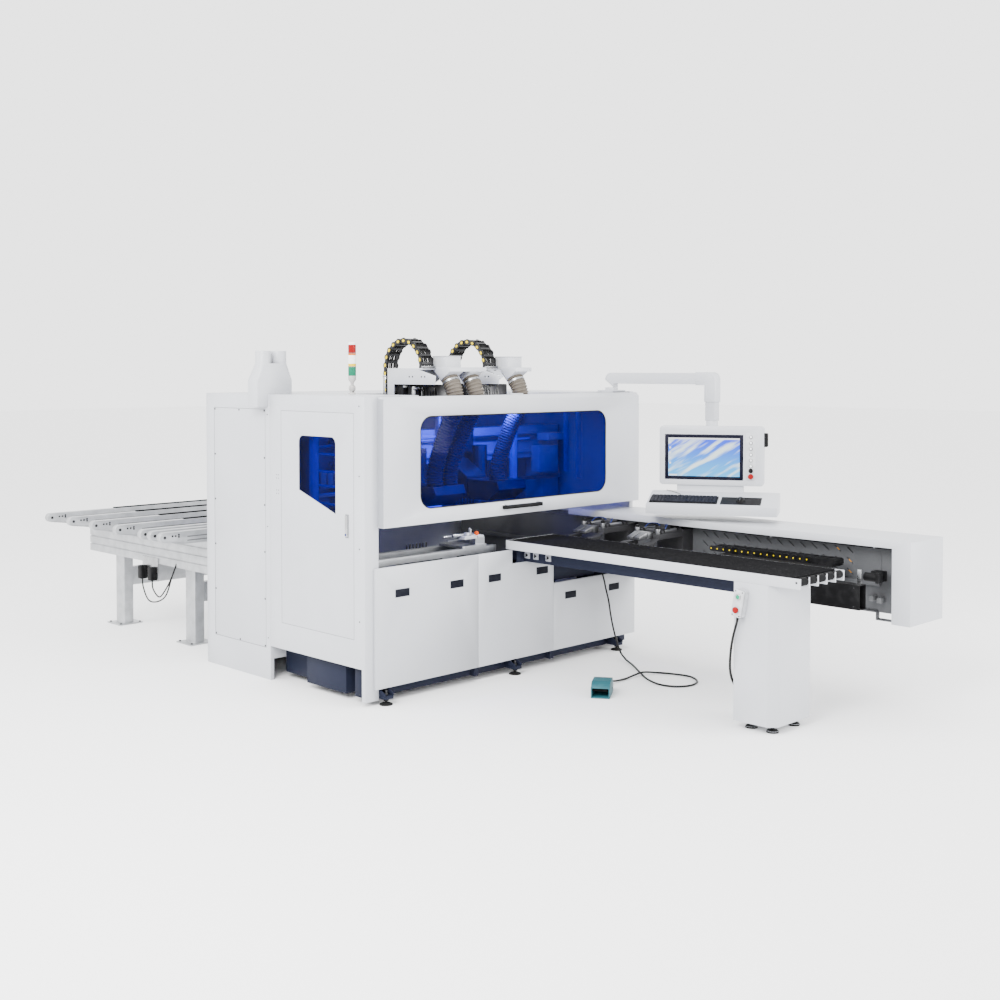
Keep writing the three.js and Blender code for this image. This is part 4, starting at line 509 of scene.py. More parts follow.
STEEL = GroundMetal((0.2, 0.203, 0.21), 0.36)
TOWER_GREY = MouldedPlastic((0.38, 0.37, 0.36), 0.4)
START_GREEN = MouldedPlastic((0.0, 0.25, 0.13), 0.45, shine=0.08)
RED = MouldedPlastic((0.2, 0.0005, 0.001), 0.4, shine=0.12)
YELLOW = MouldedPlastic((0.62, 0.46, 0.0), 0.5, shine=0.04)
ORANGE = MouldedPlastic((0.40, 0.17, 0.01), 0.5, shine=0.1)
KNOB_ORANGE = MouldedPlastic((0.55, 0.06, 0.0), 0.45, shine=0.08)
TEAL = MouldedPlastic((0.014, 0.078, 0.095), 0.45, 0.0015, 0.0002)
BOX_WHITE = MouldedPlastic((0.44, 0.45, 0.47), 0.42)
HOSE = MouldedPlastic((0.10, 0.086, 0.07), 0.45, shine=0.15)
SCREW = GroundMetal((0.05, 0.05, 0.053), 0.45)
CHAIN_BLACK = MouldedPlastic((0.006, 0.006, 0.007), 0.4, coat=0.1, shine=0.2)
ROLLER_BLACK = MouldedPlastic((0.003, 0.003, 0.0035), 0.5, shine=0.05)
LEAD_BLACK = MouldedPlastic((0.005, 0.005, 0.0055), 0.5, shine=0.2)
BEZEL_BLACK = MouldedPlastic((0.003, 0.003, 0.010), 0.4, shine=0.06)
KEY_DARK = MouldedPlastic((0.007, 0.0075, 0.012), 0.5, shine=0.06)
BELT_BLACK = MouldedPlastic((0.003, 0.003, 0.003), 0.75, 0.0012, 0.0001, shine=0.0)
GROOVE_GREY = MouldedPlastic((0.09, 0.093, 0.097), 0.55)
GRIPPER_GREY = PowderCoat((0.032, 0.032, 0.034), (0.022, 0.022, 0.024), 0.45, shine=0.12, coat=0.0)
AIR_BLUE = MouldedPlastic((0.008, 0.018, 0.12), 0.35, coat=0.2)
COLUMN_BLUE = MouldedPlastic((0.04, 0.16, 0.80), 0.3, coat=0.5)
LOOM_GREY = MouldedPlastic((0.30, 0.31, 0.34), 0.45)
LAMP_RED = Lens((0.2, 0.0, 0.001))
LAMP_GREEN = Lens((0.0, 0.13, 0.07))
LAMP_YELLOW = Lens((0.62, 0.42, 0.0))
LAMP_AMBER = Lens((0.5, 0.12, 0.0))
LAMP_CLEAR = Lens((0.80, 0.82, 0.83))
SCREEN = ScreenPicture()
SCREEN_LIGHT = Glow((0.95, 0.97, 1.0), 1.8)


# Modelling


def clear_selection() -> None:
    """Deselects everything, in object mode."""
    if bpy.context.object and bpy.context.object.mode != "OBJECT":
        bpy.ops.object.mode_set(mode="OBJECT")
    bpy.ops.object.select_all(action="DESELECT")


def activate(piece: bpy.types.Object) -> None:
    """Makes a piece the only selected and active one."""
    clear_selection()
    piece.select_set(True)
    bpy.context.view_layer.objects.active = piece


def apply_place(piece: bpy.types.Object) -> bpy.types.Object:
    """Moves the object's place, turn and scale into its mesh."""
    activate(piece)
    bpy.ops.object.transform_apply(location=True, rotation=True, scale=True)
    return piece


def finished(piece: bpy.types.Object, name: str, finish: Finish) -> bpy.types.Object:
    """Names a piece and gives it a finish.

    Args:
        piece: The piece.
        name: Its name.
        finish: Its finish.

    Returns:
        The piece.
    """
    piece.name = name
    piece.data.materials.clear()
    piece.data.materials.append(finish.material())
    return piece


def bevel(piece: bpy.types.Object, width: float, segments: int = 2, angle: float = 35) -> None:
    """Rounds a piece's sharp edges, with width in millimetres."""
    made = piece.modifiers.new("edge", "BEVEL")
    made.width = width * MILLIMETRE
    made.segments = segments
    made.limit_method = "ANGLE"
    made.angle_limit = math.radians(angle)
    made.harden_normals = False
    activate(piece)
    bpy.ops.object.modifier_apply(modifier=made.name)


def smooth(piece: bpy.types.Object, angle: float = 35) -> bpy.types.Object:
    """Shades a piece smooth except across sharp edges."""
    activate(piece)
    bpy.ops.object.shade_smooth_by_angle(angle=math.radians(angle))
    return piece


def slab(
    low: Sequence[float], high: Sequence[float], edge: float = 2.0, segments: int = 2
) -> bpy.types.Object:
    """A block between two corners with rounded edges.

    Args:
        low: The lowest corner, in millimetres.
        high: The highest corner.
        edge: The edge's radius, or 0.
        segments: The steps round an edge.

    Returns:
        The piece.
    """
    clear_selection()
    middle = [(a + b) / 2 for a, b in zip(low, high)]
    size = [(b - a) * MILLIMETRE for a, b in zip(low, high)]
    bpy.ops.mesh.primitive_cube_add(size=1, location=place(*middle), scale=size)
    piece = apply_place(bpy.context.object)
    if edge > 0:
        bevel(piece, edge, segments)
    return smooth(piece)


def drum(
    axis: Axis, radius: float, at: Sequence[float], length: float, sides: int = 24, edge: float = 1.0
) -> bpy.types.Object:
    """A round bar centred at a point, with rounded rims.

    Args:
        axis: The bar's axis.
        radius: Its radius, in millimetres.
        at: Its middle.
        length: Its length.
        sides: The steps round it.
        edge: The rims' radius, or 0.

    Returns:
        The piece.
    """
    clear_selection()
    bpy.ops.mesh.primitive_cylinder_add(
        vertices=sides,
        radius=radius * MILLIMETRE,
        depth=length * MILLIMETRE,
        location=place(*at),
        rotation=axis.turn,
    )
    piece = apply_place(bpy.context.object)
    if edge > 0:
        bevel(piece, edge, 2, 50)
    return smooth(piece, 40)


def joined(pieces: Sequence[bpy.types.Object]) -> bpy.types.Object:
    """Several pieces as one object.

    Args:
        pieces: The pieces, at least one.

    Returns:
        The first, which now holds them all.
    """
    clear_selection()
    for piece in pieces:
        piece.select_set(True)
    bpy.context.view_layer.objects.active = pieces[0]
    if len(pieces) > 1:
        bpy.ops.object.join()
    return bpy.context.view_layer.objects.active


def copied(piece: bpy.types.Object, matrix: Matrix) -> bpy.types.Object:
    """A copy of a piece with its own mesh, moved by a matrix of the model's frame."""
    twin = piece.copy()
    twin.data = piece.data.copy()
    bpy.context.scene.collection.objects.link(twin)
    twin.data.transform(matrix)
    return twin


def moved(by: Sequence[float]) -> Matrix:
    """The matrix of a move in millimetres."""
    return Matrix.Translation(Vector(by) * MILLIMETRE)


def repeated(piece: bpy.types.Object, moves: Iterable[Sequence[float]]) -> bpy.types.Object:
    """A piece and its moved copies as one object.

    Args:
        piece: The piece, which stays where it is.
        moves: The moves of its copies, in millimetres.

    Returns:
        The joined piece.
    """
    return joined([piece, *[copied(piece, moved(move)) for move in moves]])


def bisected(piece: bpy.types.Object, point: Vector, direction: Sequence[float]) -> bpy.types.Object:
    """Cuts away what lies past a plane and closes the cut."""
    activate(piece)
    bpy.ops.object.mode_set(mode="EDIT")
    bpy.ops.mesh.select_all(action="SELECT")
    bpy.ops.mesh.bisect(plane_co=point, plane_no=direction, use_fill=True, clear_outer=True)
    bpy.ops.object.mode_set(mode="OBJECT")
    return piece


def turned(
    profile: Sequence[tuple[float, float]], axis: Axis, at: Sequence[float], sides: int = 24
) -> bpy.types.Object:
    """A turned piece.

    Args:
        profile: Pairs of a distance along the axis and a radius, in millimetres.
        axis: The axis. The Y axis is followed towards the viewer.
        at: The point that distances start from.
        sides: The steps round it.

    Returns:
        The piece.
    """
    shape = bmesh.new()
    row = [shape.verts.new(Vector((radius, 0, along)) * MILLIMETRE) for along, radius in profile]
    edges = [shape.edges.new(pair) for pair in zip(row, row[1:])]
    bmesh.ops.spin(
        shape,
        geom=row + edges,
        cent=(0, 0, 0),
        axis=(0, 0, 1),
        angle=math.tau,
        steps=sides,
        use_duplicate=False,
    )
    bmesh.ops.remove_doubles(shape, verts=shape.verts, dist=1e-6)
    bmesh.ops.recalc_face_normals(shape, faces=shape.faces)
    piece = from_shape(shape)
    piece.rotation_euler = axis.turn
    piece.location = place(*at)
    return smooth(apply_place(piece), 35)


def from_shape(shape: bmesh.types.BMesh) -> bpy.types.Object:
    """An object that holds an edited shape."""
    mesh = bpy.data.meshes.new("piece")
    shape.to_mesh(mesh)
    shape.free()
    piece = bpy.data.objects.new("piece", mesh)
    bpy.context.scene.collection.objects.link(piece)
    return piece


def plate(
    axis: Axis, outline: Sequence[tuple[float, float]], low: float, high: float, edge: float = 0.0
) -> bpy.types.Object:
    """A flat plate cut to an outline.

    Args:
        axis: The axis that the plate's thickness lies along.
        outline: Points in the other two coordinates, in their order.
        low: Where the thickness starts, in millimetres.
        high: Where it ends.
        edge: The edges' radius, or 0.

    Returns:
        The piece.
    """
    def corner(point: tuple[float, float], depth: float) -> Vector:
        values = list(point)
        values.insert(axis.value, depth)
        return place(*values)

    shape = bmesh.new()
    face = shape.faces.new([shape.verts.new(corner(point, low)) for point in outline])
    grown = bmesh.ops.extrude_face_region(shape, geom=[face])["geom"]
    raised = [item for item in grown if isinstance(item, bmesh.types.BMVert)]
    bmesh.ops.translate(shape, verts=raised, vec=corner((0, 0), high) - corner((0, 0), low))
    bmesh.ops.recalc_face_normals(shape, faces=shape.faces)
    piece = from_shape(shape)
    if edge > 0:
        bevel(piece, edge, 2, 25)
    return smooth(piece, 32)


def rounded(
    low: tuple[float, float], high: tuple[float, float], radius: float, steps: int = 6
) -> list[tuple[float, float]]:
    """The outline of a rectangle with round corners.

    Args:
        low: Its lowest corner, in millimetres.
        high: Its highest corner.
        radius: The corners' radius.
        steps: The points at each corner.

    Returns:
        The outline's points.
    """
    points = []
    for corner in range(4):
        x = (high[0] - radius, low[0] + radius, low[0] + radius, high[0] - radius)[corner]
        y = (high[1] - radius, high[1] - radius, low[1] + radius, low[1] + radius)[corner]
        for step in range(steps):
            angle = math.pi / 2 * (corner + step / (steps - 1))
            points.append((x + radius * math.cos(angle), y + radius * math.sin(angle)))
    return points


def through(points: Sequence[Point], steps: int) -> list[Point]:
    """A smooth route through points that are spaced unevenly.

    Args:
        points: The points that the route passes, in millimetres.
        steps: The steps between each two of them.

    Returns:
        The route's points.
    """
    known = [Vector(point) for point in points]
    known = [known[0] * 2 - known[1], *known, known[-1] * 2 - known[-2]]
    route = []
    for a, b, c, d in zip(known, known[1:], known[2:], known[3:]):
        knots = [0.0]
        for first, second in ((a, b), (b, c), (c, d)):
            knots.append(knots[-1] + math.sqrt((second - first).length))
        for step in range(steps):
            t = knots[1] + (knots[2] - knots[1]) * step / steps
            level = [a, b, c, d]
            for reach in (1, 2, 3):
                wide = 1 if reach == 1 else 2
                level = [
                    level[i].lerp(level[i + 1], knot_share(knots, i, reach, wide, t))
                    for i in range(len(level) - 1)
                ]
            route.append(tuple(level[0]))
    return [*route, tuple(points[-1])]


def knot_share(knots: Sequence[float], index: int, reach: int, wide: int, t: float) -> float:
    """How far t lies between the two knots that a stage of the route blends."""
    if reach == 3:
        low, high = knots[1], knots[2]
    else:
        low, high = knots[index], knots[index + wide]
    return (t - low) / (high - low)


def wire(points: Sequence[Point], radius: float, rings: int = 3) -> bpy.types.Object:
    """A bent bar, hose or lead, as a curve.

    Args:
        points: Its middle line, in millimetres.
        radius: Its radius.
        rings: Half the faces round a quarter of it.

    Returns:
        The curve's object.
    """
    curve = bpy.data.curves.new("wire", "CURVE")
    curve.dimensions = "3D"
    curve.bevel_depth = radius * MILLIMETRE
    curve.bevel_resolution = rings
    curve.use_fill_caps = True
    spline = curve.splines.new("POLY")
    spline.points.add(len(points) - 1)
    for knot, point in zip(spline.points, points):
        knot.co = (*place(*point), 1.0)
    made = bpy.data.objects.new("wire", curve)
    bpy.context.scene.collection.objects.link(made)
    return made


def rod_of(points: Sequence[Point], radius: float, rings: int = 2) -> bpy.types.Object:
    """A bent bar, hose or lead, as a mesh."""
    piece = wire(points, radius, rings)
    activate(piece)
    bpy.ops.object.convert(target="MESH")
    return smooth(bpy.context.view_layer.objects.active, 60)


def ribbed_hose(
    points: Sequence[Point], radius: float, depth: float, pitch: float, sides: int = 26
) -> bpy.types.Object:
    """A ribbed hose along a route.

    Args:
        points: The route, in millimetres.
        radius: The ribs' radius.
        depth: The ribs' height.
        pitch: About the distance from rib to rib.
        sides: The steps round the hose.

    Returns:
        The piece.
    """
    guide = wire(points, 0)
    length = guide.data.splines[0].calc_length() / MILLIMETRE
    ribs = round(length / pitch)
    pitch = length / ribs
    low = radius - depth
    profile = [(0, low), (0.22 * pitch, low), (0.42 * pitch, radius), (0.8 * pitch, radius), (pitch, low)]
    piece = turned(profile, Axis.X, (0, 0, 0), sides)
    piece.data.transform(Matrix.Translation(-place(0, 0, 0)))
    row = piece.modifiers.new("ribs", "ARRAY")
    row.count = ribs
    row.use_relative_offset = False
    row.use_constant_offset = True
    row.constant_offset_displace = (pitch * MILLIMETRE, 0, 0)
    row.use_merge_vertices = True
    row.merge_threshold = 0.0002
    bend = piece.modifiers.new("route", "CURVE")
    bend.object = guide
    activate(piece)
    for name in ("ribs", "route"):
        bpy.ops.object.modifier_apply(modifier=name)
    bpy.data.objects.remove(guide)
    return smooth(piece, 60)


def swung(piece: bpy.types.Object, origin: Sequence[float], angle: float, axis: str) -> bpy.types.Object:
    """Turns a piece that was made about the enclosure's corner and carries it to its place.

    Args:
        piece: The piece.
        origin: Where the corner goes, in millimetres.
        angle: The turn in radians.
        axis: The turn's axis, such as Z.

    Returns:
        The piece.
    """
    turn = Matrix.Translation(place(*origin)) @ Matrix.Rotation(angle, 4, axis) @ Matrix.Translation(-CORNER)
    piece.data.transform(turn)
    return piece


def fitted(
    piece: bpy.types.Object, name: str, finish: Finish, body: str, *nodes: str
) -> bpy.types.Object:
    """Names and paints a piece, lets it ride on a body and stand for CAD nodes.

    Args:
        piece: The piece.
        name: Its name.
        finish: Its finish.
        body: The body that it rides on.
        nodes: The CAD nodes that it stands for.

    Returns:
        The piece.
    """
    finished(piece, name, finish)
    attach(piece, body)
    if nodes:
        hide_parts(*nodes)
    return piece


def screws(
    name: str,
    body: str,
    axis: Axis,
    spots: Iterable[Sequence[float]],
    radius: float = 6.0,
    height: float = 3.0,
    finish: Finish | None = None,
) -> bpy.types.Object:
    """Round screw heads with a round socket, as one piece.

    Args:
        name: The piece's name.
        body: The body that it rides on.
        axis: The screws' axis.
        spots: The middles of the heads' faces that touch the sheet.
        radius: The heads' radius, in millimetres.
        height: The heads' height. Below 0 it goes down the axis.
        finish: Their finish, or the plain dark steel.

    Returns:
        The piece.
    """
    spots = [tuple(spot) for spot in spots]
    sign = -1 if axis is Axis.Y else 1
    rise = height * sign
    side = rise / abs(rise)
    socket = radius * 0.5
    profile = [
        (0, radius),
        (rise * 0.55, radius),
        (rise, radius * 0.72),
        (rise, socket),
        (rise - 1.6 * side, socket * 0.94),
        (rise - 1.6 * side, 0),
    ]
    first = turned(profile, axis, spots[0], 12)
    moves = [[b - a for a, b in zip(spots[0], spot)] for spot in spots[1:]]
    return fitted(repeated(first, moves), name, finish or SCREW, body)


def body_of_node(node: str) -> str:
    """The body that a CAD node rides on."""
    bodies = frame["record"]["behaviour"]["bodies"]
    return next(body for body, nodes in bodies.items() if node in nodes)


def rounded_copy(node: str, finish: Finish, edge: float, segments: int = 2) -> bpy.types.Object:
    """A CAD node's own shape with rounded edges, standing for the node.

    Args:
        node: The node's name.
        finish: The copy's finish.
        edge: The edges' radius, in millimetres.
        segments: The steps round an edge.

    Returns:
        The copy.
    """
    source = frame["nodes"][node]
    piece = source.copy()
    piece.data = source.data.copy()
    piece.parent = None
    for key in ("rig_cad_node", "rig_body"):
        if key in piece:
            del piece[key]
    bpy.context.scene.collection.objects.link(piece)
    activate(piece)
    bpy.ops.object.mode_set(mode="EDIT")
    bpy.ops.mesh.select_all(action="SELECT")
    bpy.ops.mesh.remove_doubles(threshold=0.00002)
    bpy.ops.mesh.dissolve_limited(angle_limit=math.radians(2))
    bpy.ops.mesh.vert_connect_concave()
    bpy.ops.object.mode_set(mode="OBJECT")
    bevel(piece, edge, segments, 30)
    smooth(piece, 35)
    finished(piece, node + "_shell", finish)
    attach(piece, body_of_node(node))
    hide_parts(node)
    return piece


# The machine's pieces


@dataclass
class Covers:
    """The enclosure's sheet metal."""

    edge: float = 2.2
    plain: dict = field(
        default_factory=lambda: {
            "side_wall_left": WHITE,
            "rear_shell": WHITE,
            "roof_panel": WHITE,
            "electrical_cabinet": WHITE,
            "cabinet_cover": WHITE,
            "side_door": WHITE,
            "front_panel_left": PANEL_WHITE,
            "front_panel_middle": PANEL_WHITE,
            "front_panel_right": PANEL_WHITE,
            "front_hood": WHITE,
            "door_latch": SILVER_Z,
            "hood_handle": BLACK,
            "dust_port": WHITE,
            "table_edge": WHITE,
            "table_top": BED_BLACK,
            "table_leg": WHITE,
            "beam_cover": WHITE,
            "console_arm": WHITE,
            "console_post": WHITE,
            "console_housing": WHITE,
            "base_frame": NAVY,
            "gripper_beam": BEAM_GREY,
            "gantry_beam": WHITE,
            "head_saddle_left": WHITE,
            "head_saddle_right": WHITE,
            "dust_manifold_left": WHITE,
            "dust_manifold_right": WHITE,
            "outfeed_frame": PROFILE,
        }
    )

    def build(self) -> None:
        """Rounds the edges of each sheet metal node and paints it."""
        for node, finish in self.plain.items():
            rounded_copy(node, finish, self.edge)


@dataclass
class Carried:
    """CAD nodes whose shape stays as it is."""

    finishes: dict = field(
        default_factory=lambda: {
            "foot_front_left": RUBBER,
            "foot_front_middle": RUBBER,
            "foot_front_right": RUBBER,
            "support_rails": SILVER,
            "side_pusher": SILVER,
            "lower_drill_head": DARK_METAL,
            "beam_cable_tray": BLACK,
            "drill_head_left": DARK_METAL,
            "drill_head_right": DARK_METAL,
            "spindle_left": SILVER_Z,
            "spindle_right": SILVER_Z,
            "console_stop_button": RED,
            "outfeed_shaft": SILVER_Y,
        }
    )

    def dress(self) -> None:
        """Gives each node its finish."""
        for node, finish in self.finishes.items():
            piece = frame["nodes"][node]
            for slot in piece.material_slots:
                slot.material = finish.material()


@dataclass
class SheetDetails:
    """Screws, seals, hinges and small fittings on the enclosure."""

    cover_low: tuple[float, float] = (1128, 229)
    cover_high: tuple[float, float] = (1789, 1936)
    inset: float = 9
    door_low: tuple[float, float] = (116, 435)
    door_high: tuple[float, float] = (930, 1931)
    joint_width: float = 3.2

    def build(self) -> None:
        """Adds every small fitting of the enclosure."""
        self.cover_screws()
        self.door_fittings()
        self.hood_fittings()
        self.wall_fittings()
        self.back_fittings()

    def cover_screws(self) -> None:
        """Dark screws along the edges of the cabinet's cover, and the joints round cover and door."""
        y0, z0 = (value + self.inset for value in self.cover_low)
        y1, z1 = (value - self.inset for value in self.cover_high)
        rows = 6
        spots = [(0, y, z0 + (z1 - z0) * i / (rows - 1)) for i in range(rows) for y in (y0, y1)]
        spots += [(0, (y0 + y1) / 2, z) for z in (z0, z1)]
        screws("cover_screws", "machine", Axis.X, spots, 7, -2.5)
        frames = [self.joint(self.cover_low, self.cover_high), self.joint(self.door_low, self.door_high)]
        fitted(joined(frames), "side_joints", JOINT_GREY, "machine")

    def joint(self, low: tuple[float, float], high: tuple[float, float]) -> bpy.types.Object:
        """The thin dark line round a sheet that lies in the left wall.

        Args:
            low: The sheet's lowest y and z, in millimetres.
            high: Its highest y and z.

        Returns:
            The four strips of the line.
        """
        wide = self.joint_width
        (y0, z0), (y1, z1) = low, high
        spans = [
            ((y0 - wide, z0 - wide), (y0, z1 + wide)),
            ((y1, z0 - wide), (y1 + wide, z1 + wide)),
            ((y0, z0 - wide), (y1, z0)),
            ((y0, z1), (y1, z1 + wide)),
        ]
        return joined([slab((-0.5, *a), (0.6, *b), 0, 1) for a, b in spans])

    def door_fittings(self) -> None:
        """The side door's inner hinge screws, window seal, latch rim and lock."""
        spots = [(0, 976 + dy, z + dz) for z in (1357, 1466) for dy in (-12, 12) for dz in (-12, 12)]
        screws("hinge_screws", "machine", Axis.X, spots, 4, -1.2, DARK_METAL)
        outline = self.window_outline(2)
        closed = [(1.5, y, z) for y, z in [*outline, outline[0]]]
        pane = plate(Axis.X, self.window_outline(21.8), 3.1, 7.9)
        fitted(pane, "door_pane", SIDE_SHEET, "door", "side_door_window")
        fitted(rod_of(closed, 1.6), "side_window_seal", RUBBER, "door")
        rim = rounded((166, 1102), (206, 1260), 4)
        fitted(plate(Axis.X, rim, -0.8, 0.6, 0.3), "latch_rim", JOINT_GREY, "door")
        lock = joined(
            [drum(Axis.X, 8, (-15, 186, 1124), 3, 16), slab((-16.5, 184.5, 1118), (-14, 187.5, 1130), 0.5, 1)]
        )
        fitted(lock, "latch_lock", AIR_BLUE, "latch")

    def window_outline(self, grow: float) -> list[tuple[float, float]]:
        """The side window's opening grown by a margin, with two round corners at its top."""
        front, back, top, corner = 310 - grow, 722 + grow, 1766 + grow, 45 + grow
        points = [(front, 1253 - grow), (back, 1389 - grow)]
        for middle, start in ((back - corner, 0.0), (front + corner, math.pi / 2)):
            for step in range(8):
                angle = start + math.pi / 2 * step / 7
                points.append((middle + corner * math.cos(angle), top - corner + corner * math.sin(angle)))
        return points

    def hood_fittings(self) -> None:
        """The hood's window seal, its hinges, the handle's washers and its left return flange, whose darker
        grey is painted shade.
        """
        outline = rounded((434, 1281), (2341, 1903), 95, 12)
        closed = [(x, -59.4, z) for x, z in [*outline, outline[0]]]
        pane = plate(Axis.Y, rounded((412.2, 1259.2), (2362.8, 1924.8), 117, 12), -56.9, -52.1)
        fitted(pane, "hood_pane", BLUE_SHEET, "hood", "hood_window")
        fitted(rod_of(closed, 4.0), "hood_window_seal", RUBBER, "hood")
        washers = [drum(Axis.Y, 21, (x, -60.8, 1236), 1.6, 24) for x in (1230, 1572)]
        fitted(joined(washers), "handle_washers", SILVER, "hood")
        leaves = [slab((x, -4, 2036), (x + 120, 40, 2047.4), 1.2) for x in (330, 1360, 2380)]
        fitted(joined(leaves), "hood_hinges", WHITE, "machine")
        # The hood's left return flange is a real part; its darker grey is painted shade of that side in
        # shadow.
        fitted(slab((111.2, -58, 1180), (112.4, -3, 2026), 0.4, 1), "hood_return", PAINTED_SHADE_GREY, "hood")

    def wall_fittings(self) -> None:
        """Screws at the near column and at the foot of the side wall."""
        spots = [(0, 56, z) for z in (80, 560, 1040, 1520, 1980)]
        screws("column_screws", "machine", Axis.X, spots, 5, -2)
        pairs = [(0, 1100, z) for z in (300, 1100, 1900)]
        screws("cabinet_screws", "machine", Axis.X, pairs, 5, -2)

    def back_fittings(self) -> None:
        """Joint strips and screws of the back and the right wall."""
        strips = [
            slab((x, 1899.2, 300), (x + 3, 1900.6, 2040), 0.3, 1) for x in (1320, 2030)
        ]
        fitted(joined(strips), "back_joints", DARK_METAL, "machine")
        spots = [(x, 1900, z) for x in (640, 1290, 1355, 2000, 2065, 2710) for z in (1180, 1600, 2010)]
        screws("back_screws", "machine", Axis.Y, spots, 5.5, -2.5)
        side = [(2750, y, z) for y in (60, 960, 1860) for z in (300, 880, 1460, 2010)]
        screws("right_wall_screws", "machine", Axis.X, side, 5.5, 2.5)
        seam = slab((2749.2, 949, 260), (2750.4, 952, 2040), 0.3, 1)
        fitted(seam, "right_wall_joint", DARK_METAL, "machine")


@dataclass
class FrontPanels:
    """The pulls' inserts of the three service panels."""

    high_pulls: tuple[float, ...] = (243, 741, 1111, 1606)
    low_pulls: tuple[float, ...] = (1922, 2431)
    width: float = 120
    height: float = 50
    face: float = -22

    def build(self) -> None:
        """Fits an insert in each pull."""
        for index, x in enumerate(self.high_pulls):
            self.insert(f"pull_insert_{index}", x, 702, "machine")
        for index, x in enumerate(self.low_pulls):
            self.insert(f"pull_insert_low_{index}", x, 482, "machine")

    def insert(self, name: str, x: float, z: float, body: str) -> None:
        """A dark moulded cup with a turned lip in one pull.

        Args:
            name: The piece's name.
            x: The pull's left edge, in millimetres.
            z: The pull's lower edge.
            body: The body that it rides on.
        """
        lip = 1.5
        outer = slab(
            (x - lip, self.face - 2.2, z - lip),
            (x + self.width + lip, self.face + 0.3, z + self.height + lip),
            0,
        )
        activate(outer)
        bpy.ops.object.mode_set(mode="EDIT")
        bpy.ops.mesh.select_all(action="DESELECT")
        shape = bmesh.from_edit_mesh(outer.data)
        for side in shape.faces:
            side.select_set(side.normal.y < -0.9)
        bmesh.update_edit_mesh(outer.data)
        bpy.ops.mesh.inset(thickness=2 * MILLIMETRE, depth=0)
        bpy.ops.mesh.inset(thickness=3 * MILLIMETRE, depth=-4 * MILLIMETRE)
        bpy.ops.mesh.inset(thickness=5 * MILLIMETRE, depth=-8 * MILLIMETRE)
        bpy.ops.object.mode_set(mode="OBJECT")
        bevel(outer, 0.8, 2, 30)
        fitted(smooth(outer), name, PULL_DARK, body)
        lever = slab((x + 16, self.face + 5, z + 10), (x + 70, self.face + 9, z + 22), 1.5)
        fitted(lever, name + "_lever", STEEL, body)


